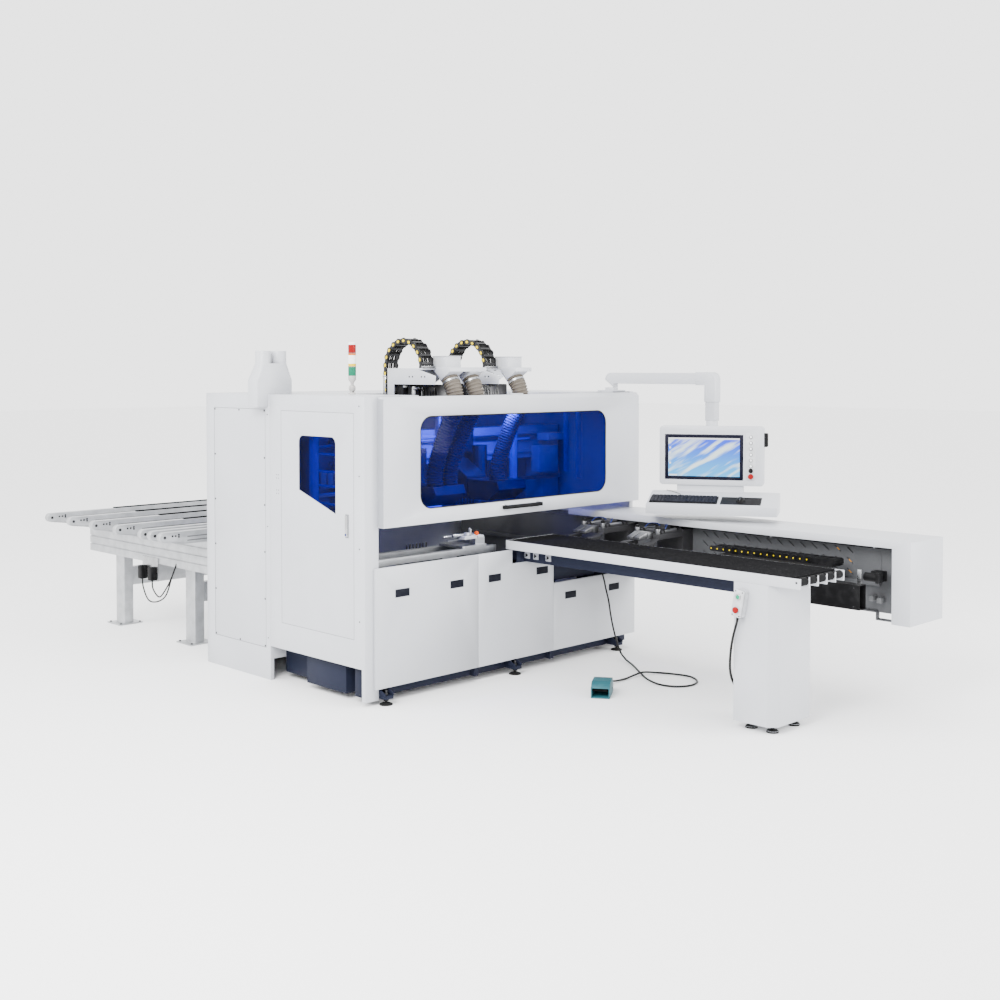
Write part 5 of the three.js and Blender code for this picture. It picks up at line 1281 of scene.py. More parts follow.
@dataclass
class EnergyChain:
    """An open energy chain that arches from the drill head up to the saddle's shelf."""

    side: str
    middle: float
    width: float = 112
    reach: float = 195
    arch_y: float = 432
    arch_z: float = 2231
    foot: float = 1954.3
    links: int = 15
    lobe: float = 20
    waist: float = 13
    plate: float = 4
    cables: tuple[tuple[float, float], ...] = ((-30, 7), (-12, 5), (6, 8), (28, 6))

    @property
    def rise(self) -> float:
        """The straight stretch's length above the head."""
        return self.arch_z - self.foot

    @property
    def pitch(self) -> float:
        """The distance from joint to joint."""
        return (self.rise + math.pi * self.reach) / self.links

    def spot(self, distance: float) -> tuple[float, float, float]:
        """The place along the chain's middle line.

        Args:
            distance: How far from its foot, in millimetres.

        Returns:
            The point's y and z, and its turn in radians.
        """
        turn = max(distance - self.rise, 0) / self.reach
        if distance < self.rise:
            return self.arch_y + self.reach, self.foot + distance, 0.0
        return self.arch_y + self.reach * math.cos(turn), self.arch_z + self.reach * math.sin(turn), turn

    def cheek(self) -> list[tuple[float, float]]:
        """A side plate's outline: two round lobes and a waist."""
        half = self.pitch / 2
        points = []
        for sign, start in ((1, -0.35), (-1, math.pi - 0.35)):
            for step in range(13):
                angle = start + (math.pi + 0.7) * step / 12
                points.append((self.lobe * math.cos(angle), sign * half + self.lobe * math.sin(angle)))
            points.append((-sign * self.waist, sign * half * 0.25))
            points.append((-sign * self.waist, -sign * half * 0.25))
        return points

    def link(self, inset: float) -> bpy.types.Object:
        """One link about the corner: two cheeks, two rungs and a divider.

        Args:
            inset: How far its cheeks lie inside the chain's width.

        Returns:
            The link.
        """
        side = self.width / 2 - inset
        rung = side - self.plate / 2
        edge = self.lobe - 3.5
        parts = [
            plate(Axis.X, self.cheek(), -side, -side + self.plate),
            plate(Axis.X, self.cheek(), side - self.plate, side),
            slab((-rung, edge - 5, -9), (rung, edge + 1, 9), 1.5, 1),
            slab((-rung, -edge - 1, -9), (rung, -edge + 5, 9), 1.5, 1),
            slab((-2, -edge, -6), (2, edge, 6), 0),
        ]
        return joined(parts)

    def along(self, piece: bpy.types.Object, distance: float) -> bpy.types.Object:
        """A copy of a piece made about the corner, set on the chain at a distance."""
        y, z, turn = self.spot(distance)
        twin = copied(piece, Matrix.Identity(4))
        return swung(twin, (self.middle, y, z), turn, "X")

    def build(self) -> None:
        """Sets the links, the joints' dots, the cables and the clip at the shelf."""
        kinds = [self.link(0), self.link(self.plate + 0.6)]
        dots = joined(
            [drum(Axis.X, 9.5, (sign * (self.width / 2 + 0.4), 0, 0), 2.4, 16, 0.6) for sign in (-1, 1)]
        )
        dots.data.transform(
            Matrix.Translation(CORNER) @ Matrix.Diagonal((1, 1, 1.35, 1)) @ Matrix.Translation(-CORNER)
        )
        links = [self.along(kinds[i % 2], (i + 0.5) * self.pitch) for i in range(self.links)]
        spots = [self.along(dots, i * self.pitch) for i in range(1, self.links)]
        for piece in (*kinds, dots):
            bpy.data.objects.remove(piece)
        self.bend(joined(links), "energy_chain_links_" + self.side, CHAIN_BLACK, True)
        self.bend(joined(spots), "energy_chain_dots_" + self.side, YELLOW, False)
        self.bend(joined(self.leads()), "energy_chain_cables_" + self.side, RUBBER, False)
        self.clip()

    def leads(self) -> list[bpy.types.Object]:
        """The cables that run inside the links."""
        total = self.pitch * self.links
        steps = 48
        made = []
        for offset, radius in self.cables:
            points = []
            for step in range(steps + 1):
                y, z, _ = self.spot(4 + (total - 8) * step / steps)
                points.append((self.middle + offset, y, z))
            made.append(rod_of(points, radius))
        return made

    def bend(self, piece: bpy.types.Object, name: str, finish: Finish, stands: bool) -> None:
        """Names, smooths and paints a piece and keeps it in the model's frame; for the links it also hides
        the CAD chain.
        """
        finished(smooth(piece, 30), name, finish)
        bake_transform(piece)
        if stands:
            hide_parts("energy_chain_" + self.side)

    def clip(self) -> None:
        """The bent steel clip that holds the chain's end on the shelf."""
        y = self.arch_y - self.reach - self.lobe
        left, right = self.middle - self.width / 2 - 10, self.middle + self.width / 2 + 10
        parts = [
            slab((left, y - 26, 2230.2), (right, y + 4, 2233.6), 0.8),
            slab((left, y - 3, 2232), (right, y + 1, 2246), 0.8),
        ]
        fitted(joined(parts), "chain_clip_" + self.side, STEEL, "saddle_" + self.side)
        spots = [(self.middle + shift, y - 15, 2233.6) for shift in (-40, 0, 40)]
        screws("chain_clip_screws_" + self.side, "saddle_" + self.side, Axis.Z, spots, 4.5, 3)


@dataclass
class DustHoses:
    """The ribbed hoses from a saddle's manifold down to the head's dust hood."""

    side: str
    middle: float
    tops: tuple[float, ...]
    ends: tuple[float, ...]
    node: str
    radius: float = 61

    def build(self) -> None:
        """Winds each hose, with a clamp ring at its top."""
        hoses = [self.hose(top, end) for top, end in zip(self.tops, self.ends)]
        hose = finished(joined(hoses), "ribbed_hoses_" + self.side, HOSE)
        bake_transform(hose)
        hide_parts(self.node)
        rings = [self.clamp(top) for top in self.tops]
        fitted(joined(rings), "hose_clamps_" + self.side, SILVER, "saddle_" + self.side)

    def hose(self, top: float, end: float) -> bpy.types.Object:
        """One hose.

        Args:
            top: Its top's place along x from the saddle's middle, in millimetres.
            end: Its lower end's place.

        Returns:
            The hose.
        """
        start, low = self.middle + top, self.middle + end
        lean = start + 10
        knots = [
            (start, 122, 2160),
            (start, 77, 2082),
            (lean, 70, 1980),
            (lean + 0.45 * (low - lean), 130, 1781),
            (low, 190, 1492),
            (low, 190, 1404),
        ]
        return ribbed_hose(through(knots, 9), self.radius, 7.5, 19)

    def clamp(self, top: float) -> bpy.types.Object:
        """The steel band round a hose's top, leaning as the hose does."""
        band = turned([(-7, 60), (-7, 63.5), (7, 63.5), (7, 60)], Axis.Z, (0, 0, 0), 36)
        bolt = drum(Axis.X, 4, (0, -67, 0), 22, 12)
        return swung(joined([band, bolt]), (self.middle + top, 106, 2132), -math.pi / 6, "X")


@dataclass
class SaddleTop:
    """The machinery on a saddle's shelf and below it, seen through the roof's opening."""

    side: str
    middle: float
    half: float = 185

    def build(self) -> None:
        """Adds the cylinders, the guide carriages, the screws and the manifold's bands."""
        body = "saddle_" + self.side
        left = self.middle - self.half
        spots = [(left, y, 2170) for y in (170, 205, 300, 335)]
        screws("side_plate_screws_" + self.side, body, Axis.X, spots, 6, -3)
        x0, x1 = self.middle - 20, self.middle + 120
        bands = [slab((x0 - 0.6, y, 2234), (x1 + 0.6, y + 3, 2313), 0.4, 1) for y in (164, 200, 236)]
        bands.append(slab((x0 - 5, 126, 2313), (x1 + 5, 274, 2317.4), 1.2))
        fitted(joined(bands), "manifold_bands_" + self.side, PANEL_WHITE, body)
        cylinders = []
        for shift in (-150, -95, 150):
            x = self.middle + shift
            cylinders.append(drum(Axis.Z, 21, (x, 636, 2065), 210, 20))
            cylinders.append(drum(Axis.Z, 24, (x, 636, 2172), 14, 20))
            cylinders.append(drum(Axis.Z, 8, (x, 636, 1930), 90, 12))
        fitted(joined(cylinders), "lift_cylinders_" + self.side, SILVER_Z, body)
        self.machinery(body)
        mounts = [
            slab((self.middle - 172, 600, 1975), (self.middle - 72, 714, 1998), 3),
            slab((self.middle + 128, 600, 1975), (self.middle + 172, 714, 1998), 3),
            slab((self.middle - 60, 560, 2010), (self.middle + 70, 700, 2150), 6),
        ]
        fitted(joined(mounts), "lift_mounts_" + self.side, BLACK, body)

    def machinery(self, body: str) -> None:
        """Drives, valve blocks and looms under the shelf."""
        m = self.middle
        blocks = [
            slab((m - 160, 430, 1930), (m - 60, 500, 2108), 6),
            slab((m - 40, 300, 1960), (m + 30, 400, 2100), 6),
            slab((m + 60, 330, 2000), (m + 170, 480, 2112), 8),
            drum(Axis.Z, 42, (m - 105, 380, 2030), 150, 28, 4),
            drum(Axis.Z, 30, (m + 120, 430, 1950), 120, 24, 3),
        ]
        fitted(joined(blocks), "saddle_drives_" + self.side, BLACK, body)
        bright = [
            drum(Axis.Z, 15, (m - 130, 350, 2040), 120, 18, 2),
            drum(Axis.Z, 12, (m - 60, 340, 2050), 110, 18, 2),
            drum(Axis.X, 11, (m - 90, 330, 2085), 120, 18, 2),
            slab((m - 172, 400, 2090), (m - 40, 420, 2106), 2),
        ]
        fitted(joined(bright), "saddle_cylinders_" + self.side, SILVER_Z, body)
        looms = []
        for i in range(6):
            x = m - 150 + i * 26
            knots = [
                (x, 470, 2100),
                (x + 10, 400, 2112 - i * 4),
                (x + 60, 320, 2092),
                (x + 50, 290, 2000),
                (x + 20, 300, 1930),
            ]
            looms.append(rod_of(through(knots, 7), 6 + (i % 3) * 1.5))
        fitted(joined(looms), "saddle_looms_" + self.side, RUBBER, body)


@dataclass
class LightTower:
    """The light tower's lamps under a clear cap, over a silver ball joint."""

    at: tuple[float, float] = (420, 660)
    radius: float = 28
    bands: tuple = field(
        default_factory=lambda: (
            (2176.5, 2238.5, LAMP_GREEN),
            (2243.5, 2262, LAMP_YELLOW),
            (2262, 2322, LAMP_CLEAR),
            (2322, 2334.5, LAMP_AMBER),
            (2339.5, 2396, LAMP_RED),
        )
    )

    def build(self) -> None:
        """Stacks the lamps, their rims, the base and the joint."""
        x, y = self.at
        for index, (low, high, finish) in enumerate(self.bands):
            lamp = self.lamp(low, high)
            fitted(lamp, f"tower_lamp_{index}", finish, "lamps", *(["lamp_stack"] if index == 0 else []))
        cap = turned(
            [(2397, self.radius), (2409, self.radius), (2415, self.radius - 5), (2415.8, 0)],
            Axis.Z,
            (x, y, 0),
            32,
        )
        fitted(cap, "tower_cap", LAMP_CLEAR, "lamps")
        rims = [
            turned(
                [(z - 2, 0), (z - 2, self.radius + 0.2), (z + 2, self.radius + 0.2), (z + 2, 0)],
                Axis.Z,
                (x, y, 0),
                32,
            )
            for z in (2241, 2337)
        ]
        fitted(joined(rims), "tower_rims", STEEL, "lamps")
        foot = turned(
            [
                (2104, 0),
                (2104, 9),
                (2126, 12),
                (2150, self.radius),
                (2174, self.radius),
                (2176, self.radius - 2),
                (2176, 0),
            ],
            Axis.Z,
            (x, y, 0),
            32,
        )
        lug = drum(Axis.X, 22, (x, y, 2087), 14, 28, 2)
        neck = drum(Axis.Z, 8, (x, y, 2106), 18, 18)
        fitted(joined([foot, lug, neck]), "tower_foot", TOWER_GREY, "lamps")
        self.joint()

    def lamp(self, low: float, high: float) -> bpy.types.Object:
        """One lamp's ribbed lens between two heights."""
        clear_selection()
        x, y = self.at
        bpy.ops.mesh.primitive_cylinder_add(
            vertices=48,
            radius=self.radius * MILLIMETRE,
            depth=(high - low) * MILLIMETRE,
            location=place(x, y, (low + high) / 2),
        )
        lens = apply_place(bpy.context.object)
        for index, vertex in enumerate(lens.data.vertices):
            if (index // 2) % 2:
                across = Vector((vertex.co.x, vertex.co.y)) - place(x, y, 0).xy
                vertex.co.xy = place(x, y, 0).xy + across * 0.972
        bevel(lens, 0.5, 1, 60)
        return smooth(lens, 20)

    def joint(self) -> None:
        """The stand's two cheeks, its clamp screw and round base."""
        x, y = self.at
        parts = [
            turned([(2045.4, 0), (2045.4, 26), (2053, 26), (2057, 22), (2057, 0)], Axis.Z, (x, y, 0), 32)
        ]
        for side in (-1, 1):
            parts.append(drum(Axis.X, 24, (x + side * 10.5, y, 2087), 6.4, 32, 1.5))
            parts.append(drum(Axis.X, 17, (x + side * 15, y, 2087), 5, 28, 1.5))
            parts.append(
                slab((x + side * 10.5 - 2.3, y - 10, 2050), (x + side * 10.5 + 2.3, y + 10, 2076), 1)
            )
        parts.append(drum(Axis.X, 8, (x - 19, y, 2087), 5, 6, 0.6))
        parts.append(drum(Axis.X, 8, (x + 19, y, 2087), 5, 18, 0.6))
        fitted(joined(parts), "tower_joint", TOWER_GREY, "machine", "tower_stand")


@dataclass
class PedalLead:
    """The foot pedal's lead, from the gland on the crossbar to the pedal."""

    radius: float = 7.0
    route: tuple[Point, ...] = (
        (2300, 29.7, 668),
        (2300, -20, 666),
        (2303, -58, 640),
        (2308, -76, 590),
        (2316, -88, 520),
        (2330, -104, 429),
        (2331, -135, 278),
        (2332, -182, 129),
        (2322, -232, 46),
        (2275, -318, 15),
        (2181, -464, 9),
        (2025, -667, 8.6),
        (1900, -841, 8.6),
        (1846, -992, 8.6),
        (1876, -1100, 8.6),
        (1973, -1157, 8.6),
        (2102, -1122, 8.6),
        (2186, -997, 8.6),
        (2156, -850, 9.4),
        (2075, -762, 17),
        (1990, -722, 26),
        (1900, -712, 18),
        (1800, -716, 11),
        (1690, -722, 15),
        (1590, -741, 32),
    )
    pedal: tuple[float, float] = (1370, -865)
    turn: float = 0.594
    reach: float = 149
    gland_z: float = 40

    def pedal_point(self, extra: float) -> Point:
        """A point on the pedal's axis, past its gland."""
        far = self.reach + extra
        x, y = self.pedal
        return (x + far * math.cos(self.turn), y + far * math.sin(self.turn), self.gland_z)

    def build(self) -> None:
        """Lays the lead, with a tapered strain relief at each end."""
        points = through([*self.route, self.pedal_point(34), self.pedal_point(0.3)], 12)
        lead = wire(points, self.radius, 3)
        lead.name = "pedal_lead"
        lead.data.materials.append(LEAD_BLACK.material())
        start = self.strain_relief()
        end = self.pedal_relief()
        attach(lead, "machine")
        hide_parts("pedal_cord")

    def strain_relief(self) -> bpy.types.Object:
        """The gland's nut and its tapered sleeve on the crossbar."""
        x, y, z = self.route[0]
        nut = drum(Axis.Y, 13, (x, y - 6, z), 11, 6, 1)
        sleeve = turned(
            [(10, 11), (14, 10.5), (34, 8.2), (36, 8.0), (36, 6.9), (10, 6.9)], Axis.Y, (x, y, z), 20
        )
        ring = turned([(0, 14), (2.5, 14), (2.5, 6.9)], Axis.Y, (x, y, z), 24)
        return fitted(joined([nut, sleeve, ring]), "lead_gland", BOX_WHITE, "machine")

    def pedal_relief(self) -> bpy.types.Object:
        """The ribbed tapered sleeve at the pedal."""
        profile = [(-35, 6.9)]
        for step in range(8):
            along = -34 + step * 4.2
            radius = 12.2 - step * 0.5
            profile += [
                (along, radius),
                (along + 2.6, radius),
                (along + 2.8, radius - 1.3),
                (along + 4.0, radius - 1.3),
            ]
        profile += [(0, 7.6), (0.2, 6.9)]
        sleeve = turned(profile, Axis.X, (0, 0, 0), 20)
        sleeve = swung(sleeve, (0, 0, 0), self.turn, "Z")
        x, y, z = self.pedal_point(0)
        sleeve.data.transform(moved((x, y, z)))
        return fitted(sleeve, "pedal_relief", RUBBER, "machine")


@dataclass
class FootPedal:
    """The cast pedal's housing with its ribs and bolts, and the tread's grip."""

    at: tuple[float, float] = (1370, -865)
    turn: float = 0.594
    side: float = 64
    height: float = 104
    ribs: int = 5
    rib_pitch: float = 22
    grips: int = 9
    grip_pitch: float = 9
    tread_fall: float = 0.99

    def carried(self, piece: bpy.types.Object) -> bpy.types.Object:
        """Carries a piece made about the corner to the pedal."""
        return swung(piece, (*self.at, 0), self.turn, "Z")

    def build(self) -> None:
        """Rounds the housing and the tread, and adds the ribs, the grip and the bolts."""
        rounded_copy("pedal_housing", TEAL, 0.8)
        ribs = [
            slab(
                (-40 + i * self.rib_pitch, -self.side + 14, self.height - 1),
                (-30 + i * self.rib_pitch, self.side - 14, self.height + 0.8),
                0.8,
            )
            for i in range(self.ribs)
        ]
        fitted(self.carried(joined(ribs)), "pedal_ribs", TEAL, "machine")
        rounded_copy("pedal_tread", BLACK, 0.8)
        grip = []
        for i in range(self.grips):
            x, fall = i * self.grip_pitch, i * self.tread_fall
            grip.append(slab((-92 + x, -48, 54.6 - fall), (-87 + x, 48, 57.4 - fall), 0.8))
        fitted(self.carried(joined(grip)), "tread_grip", RUBBER, "tread")
        bolts = [drum(Axis.Y, 6, (72, sign * (self.side + 0.8), 34), 3, 12) for sign in (-1, 1)]
        bolts += [
            drum(Axis.Y, 4, (x, sign * (self.side + 0.6), 12), 2, 12) for sign in (-1, 1) for x in (-90, 95)
        ]
        fitted(self.carried(joined(bolts)), "pedal_bolts", SCREW, "machine")


@dataclass
class Console:
    """The operator's console: screen, buttons, keyboard and touch pad."""

    at: tuple[float, float] = (2600, -880)
    turn: float = math.radians(-60.7)
    front: float = -45
    screen_low: tuple[float, float] = (-345, 1400)
    screen_high: tuple[float, float] = (235, 1738)
    rim: float = 26
    column_x: float = 290
    lamps: int = 6
    top_lamp: float = 1722
    lamp_pitch: float = 43
    switch_z: float = 1474
    stop_z: float = 1432
    tray_front: float = -345
    tray_depth: float = 300
    tray_low: float = 1235
    tray_high: float = 1309

    @property
    def slope(self) -> float:
        """The tray's slope, in radians."""
        return math.atan((self.tray_high - self.tray_low) / self.tray_depth)

    def carried(self, piece: bpy.types.Object) -> bpy.types.Object:
        """Carries a piece made about the corner to the console."""
        return swung(piece, (*self.at, 0), self.turn, "Z")

    def add(self, piece: bpy.types.Object, name: str, finish: Finish) -> bpy.types.Object:
        """Carries, names and paints a piece of the console."""
        return fitted(self.carried(piece), name, finish, "console")

    def build(self) -> None:
        """Builds the screen, the button column, the keyboard and the pad."""
        self.screen()
        self.buttons()
        self.keyboard()
        self.pad()
        self.back()

    def screen(self) -> None:
        """The glass in its black bezel, with a plain picture of soft light bands."""
        x0, z0 = self.screen_low
        x1, z1 = self.screen_high
        f = self.front
        rim = self.rim
        bars = [
            slab((x0 + 1, f - 1.5, z0 + 1), (x0 + rim, f + 5.6, z1 - 1), 1),
            slab((x1 - rim, f - 1.5, z0 + 1), (x1 - 1, f + 5.6, z1 - 1), 1),
            slab((x0 + rim - 1, f - 1.5, z1 - rim), (x1 - rim + 1, f + 5.6, z1 - 1), 1),
            slab((x0 + rim - 1, f - 1.5, z0 + 1), (x1 - rim + 1, f + 5.6, z0 + rim), 1),
        ]
        self.add(joined(bars), "screen_bezel", BEZEL_BLACK)
        glass = slab((x0 + rim - 2, f + 2.4, z0 + rim - 2), (x1 - rim + 2, f + 5.2, z1 - rim + 2), 0)
        self.add(glass, "screen_glass", SCREEN)
        bar = slab((x0 + rim, f + 2.0, z1 - rim - 12), (x1 - rim, f + 2.6, z1 - rim), 0)
        tiles = [
            slab((x0 + rim + 6, f + 2.0, z1 - 70 - i * 38), (x0 + rim + 20, f + 2.6, z1 - 56 - i * 38), 0)
            for i in range(5)
        ]
        tiles.append(slab((x0 + rim + 4, f + 2.0, z0 + rim + 2), (x0 + rim + 66, f + 2.6, z0 + rim + 13), 0))
        self.add(joined([bar, *tiles]), "screen_tiles", SCREEN_LIGHT)

    def buttons(self) -> None:
        """The column of pilot lamps, the key switch and the stop button's collar."""
        f = self.front
        x = self.column_x
        strip = slab((x - 34, f - 1.2, 1400), (x + 34, f + 1, 1752), 1)
        self.add(strip, "button_strip", BOX_WHITE)
        rings, caps = [], []
        for i in range(self.lamps):
            z = self.top_lamp - i * self.lamp_pitch
            rings.append(turned([(0, 13), (4, 13), (5, 11.5), (5, 9), (1, 9)], Axis.Y, (x, f - 1, z), 24))
            caps.append(drum(Axis.Y, 8.8, (x, f - 3.6, z), 5, 20, 1))
        self.add(joined(rings), "button_rings", STEEL)
        self.add(joined(caps), "button_caps", LAMP_CLEAR)
        switch = [
            turned([(0, 17), (6, 17), (8, 14), (8, 0)], Axis.Y, (x, f - 1, self.switch_z), 24),
            slab((x - 3.5, f - 22, self.switch_z - 14), (x + 3.5, f - 6, self.switch_z + 14), 2),
        ]
        self.add(joined(switch), "key_switch", BLACK)
        collar = turned([(0, 23), (1.2, 23), (1.6, 21), (1.6, 9.8)], Axis.Y, (x, f, self.stop_z), 28)
        self.add(collar, "stop_collar", BOX_WHITE)
        handle = slab((368, f + 4, 1650), (412, f + 66, 1752), 8, 3)
        self.add(handle, "side_grip", BLACK)

    def keyboard(self) -> None:
        """Rows of keys on the sloping tray."""
        left, right = -425, 70
        rows, columns = 5, 18
        self.add(self.sloped((left, -300), (right, -150), 9, 2.5), "keyboard_base", BLACK)
        margin, gap, deep, row_pitch = 8, 3, 25, 28.6
        pitch = (right - left - 2 * margin) / columns
        keys = []
        for row in range(rows):
            for column in range(columns):
                x = left + margin + column * pitch
                y = -293 + row * row_pitch
                wide = 1
                if row == 0 and 4 <= column <= 9:
                    wide = 6
                    if column > 4:
                        continue
                keys.append(self.sloped((x, y), (x + wide * pitch - gap, y + deep), 15, 1.2, 8))
        self.add(joined(keys), "keyboard_keys", KEY_DARK)
        lead = rod_of(
            [(-200, -152, 1287), (-230, -110, 1300), (-290, -60, 1312), (-330, -20, 1314), (-340, 25, 1312)],
            2.2,
        )
        self.add(lead, "keyboard_lead", LEAD_BLACK)

    def sloped(
        self, low: tuple[float, float], high: tuple[float, float], rise: float, edge: float, lift: float = 0.0
    ) -> bpy.types.Object:
        """A flat block that lies on the tray's slope.

        Args:
            low: Its lowest x and y about the console, in millimetres.
            high: Its highest x and y.
            rise: Its top above the slope.
            edge: Its edges' radius.
            lift: Its underside above the slope.

        Returns:
            The block.
        """
        near = self.tray_front
        block = slab((low[0], low[1] - near, lift), (high[0], high[1] - near, rise), edge, 1)
        return swung(block, (0, near, self.tray_low), self.slope, "X")

    def pad(self) -> None:
        """The black pad right of the keyboard, with a round mouse on it."""
        self.add(self.sloped((92, -300), (382, -142), 3, 1), "mouse_pad", BLACK)
        clear_selection()
        bpy.ops.mesh.primitive_uv_sphere_add(segments=28, ring_count=14, radius=1, location=place(0, 0, 0))
        mouse = bpy.context.object
        mouse.scale = (0.031, 0.05, 0.026)
        apply_place(mouse)
        bisected(mouse, place(0, 0, 0), (0, 0, -1))
        slit = slab((-0.8, -50, 12), (0.8, -6, 27), 0.3, 1)
        wheel = drum(Axis.X, 8, (0, -26, 20), 7, 18)
        dressed = ((mouse, "mouse", BLACK), (joined([slit, wheel]), "mouse_wheel", DARK_METAL))
        for piece, name, finish in dressed:
            self.add(swung(smooth(piece, 50), (232, -222, 1268.5), self.slope, "X"), name, finish)

    def back(self) -> None:
        """Ventilation slots and screws on the back of the housing."""
        slots = [slab((-150 + i * 22, 44.4, 1480), (-140 + i * 22, 45.6, 1620), 0.5, 1) for i in range(14)]
        self.add(joined(slots), "vent_slots", BLACK)
        spots = [(x, 45, z) for x in (-360, 360) for z in (1385, 1775)]
        first = drum(Axis.Y, 6, spots[0], 4, 14)
        moves = [[b - a for a, b in zip(spots[0], spot)] for spot in spots[1:]]
        self.add(repeated(first, moves), "housing_screws", SCREW)


@dataclass
class FeedTable:
    """The feed table's bed strip, end rollers, knobs and brackets."""

    left: float = 1325
    right: float = 1830
    front: float = -2440
    axis_y: float = -2416
    axis_z: float = 955
    drums: int = 5
    cheek: float = 12
    tyre: float = 25
    bed: float = 980
    leg_x: tuple[float, float] = (1419, 1655)
    leg_y: tuple[float, float] = (-2195, -2041.3)

    def build(self) -> None:
        """Builds the rollers, the bed's trim and the fittings below the table."""
        self.rollers()
        self.trim()
        self.leg_feet()
        self.knobs()

    def rollers(self) -> None:
        """Black rubber rollers with steel ends between bright cheeks."""
        pitch = (self.right - self.left - self.cheek) / self.drums
        tyres, ends = [], []
        for i in range(self.drums):
            x = self.left + self.cheek + (i + 0.5) * pitch - self.cheek / 2
            length = pitch - self.cheek - 3
            half = length / 2
            r = self.tyre
            profile = [(-half, 0), (-half, r - 4), (-half + 4, r)]
            grooves = 6
            for g in range(1, grooves):
                along = -half + length * g / grooves
                profile += [(along - 2, r), (along - 1, r - 1.4), (along + 1, r - 1.4), (along + 2, r)]
            profile += [(half - 4, r), (half, r - 4), (half, 0)]
            tyres.append(turned(profile, Axis.X, (x, self.axis_y, self.axis_z), 28))
            ends += [
                drum(Axis.X, 10, (x + s * (half + 0.6), self.axis_y, self.axis_z), 1.6, 18) for s in (-1, 1)
            ]
        fitted(joined(tyres), "roller_tyres", ROLLER_BLACK, "rollers", "end_rollers")
        fitted(joined(ends), "roller_ends", SILVER, "rollers")
        caps = [
            drum(Axis.X, 7, (x, self.axis_y, self.axis_z), 3, 16) for x in (self.left - 1.2, self.right + 1.2)
        ]
        fitted(joined(caps), "roller_bolts", SCREW, "machine")

    def trim(self) -> None:
        """A dark joint between the bed and its white edge."""
        strips = [
            slab((x, self.front + 66, self.bed - 2), (x + 2.5, 16, self.bed + 0.2), 0.4, 1)
            for x in (self.left + 3, self.right - 5.5)
        ]
        fitted(joined(strips), "bed_joint", RUBBER, "machine")

    def leg_feet(self) -> None:
        """Black levelling pads and studs under the table's leg."""
        pads = []
        for x in self.leg_x:
            for y in self.leg_y:
                profile = [(0, 0), (0, 38.6), (10, 38.6), (17, 30), (20.6, 14), (20.6, 10), (49, 10), (49, 0)]
                pads.append(turned(profile, Axis.Z, (x, y, 0), 28))
        fitted(joined(pads), "leg_pads", RUBBER, "machine")

    def knobs(self) -> None:
        """Pale brackets with black wedges beside the table's beam, and a small bracket under the edge."""
        back = slab((1400, -20, 811), (1481, -15, 914), 1)
        fitted(back, "notch_back", NAVY, "machine")
        places = (-52, -138, -262)
        plates = [slab((1472, y - 25, 838), (1480.4, y + 25, 888), 2) for y in places]
        fitted(joined(plates), "table_brackets", LOOM_GREY, "machine")
        wedges = [plate(Axis.X, [(y - 12, 863), (y + 10, 878), (y + 10, 848)], 1466, 1473, 1) for y in places]
        fitted(joined(wedges), "table_wedges", BLACK, "machine")
        bracket = slab((1700, -330, 896), (1800, -270, 914.5), 4)
        fitted(bracket, "edge_bracket", WHITE, "machine")


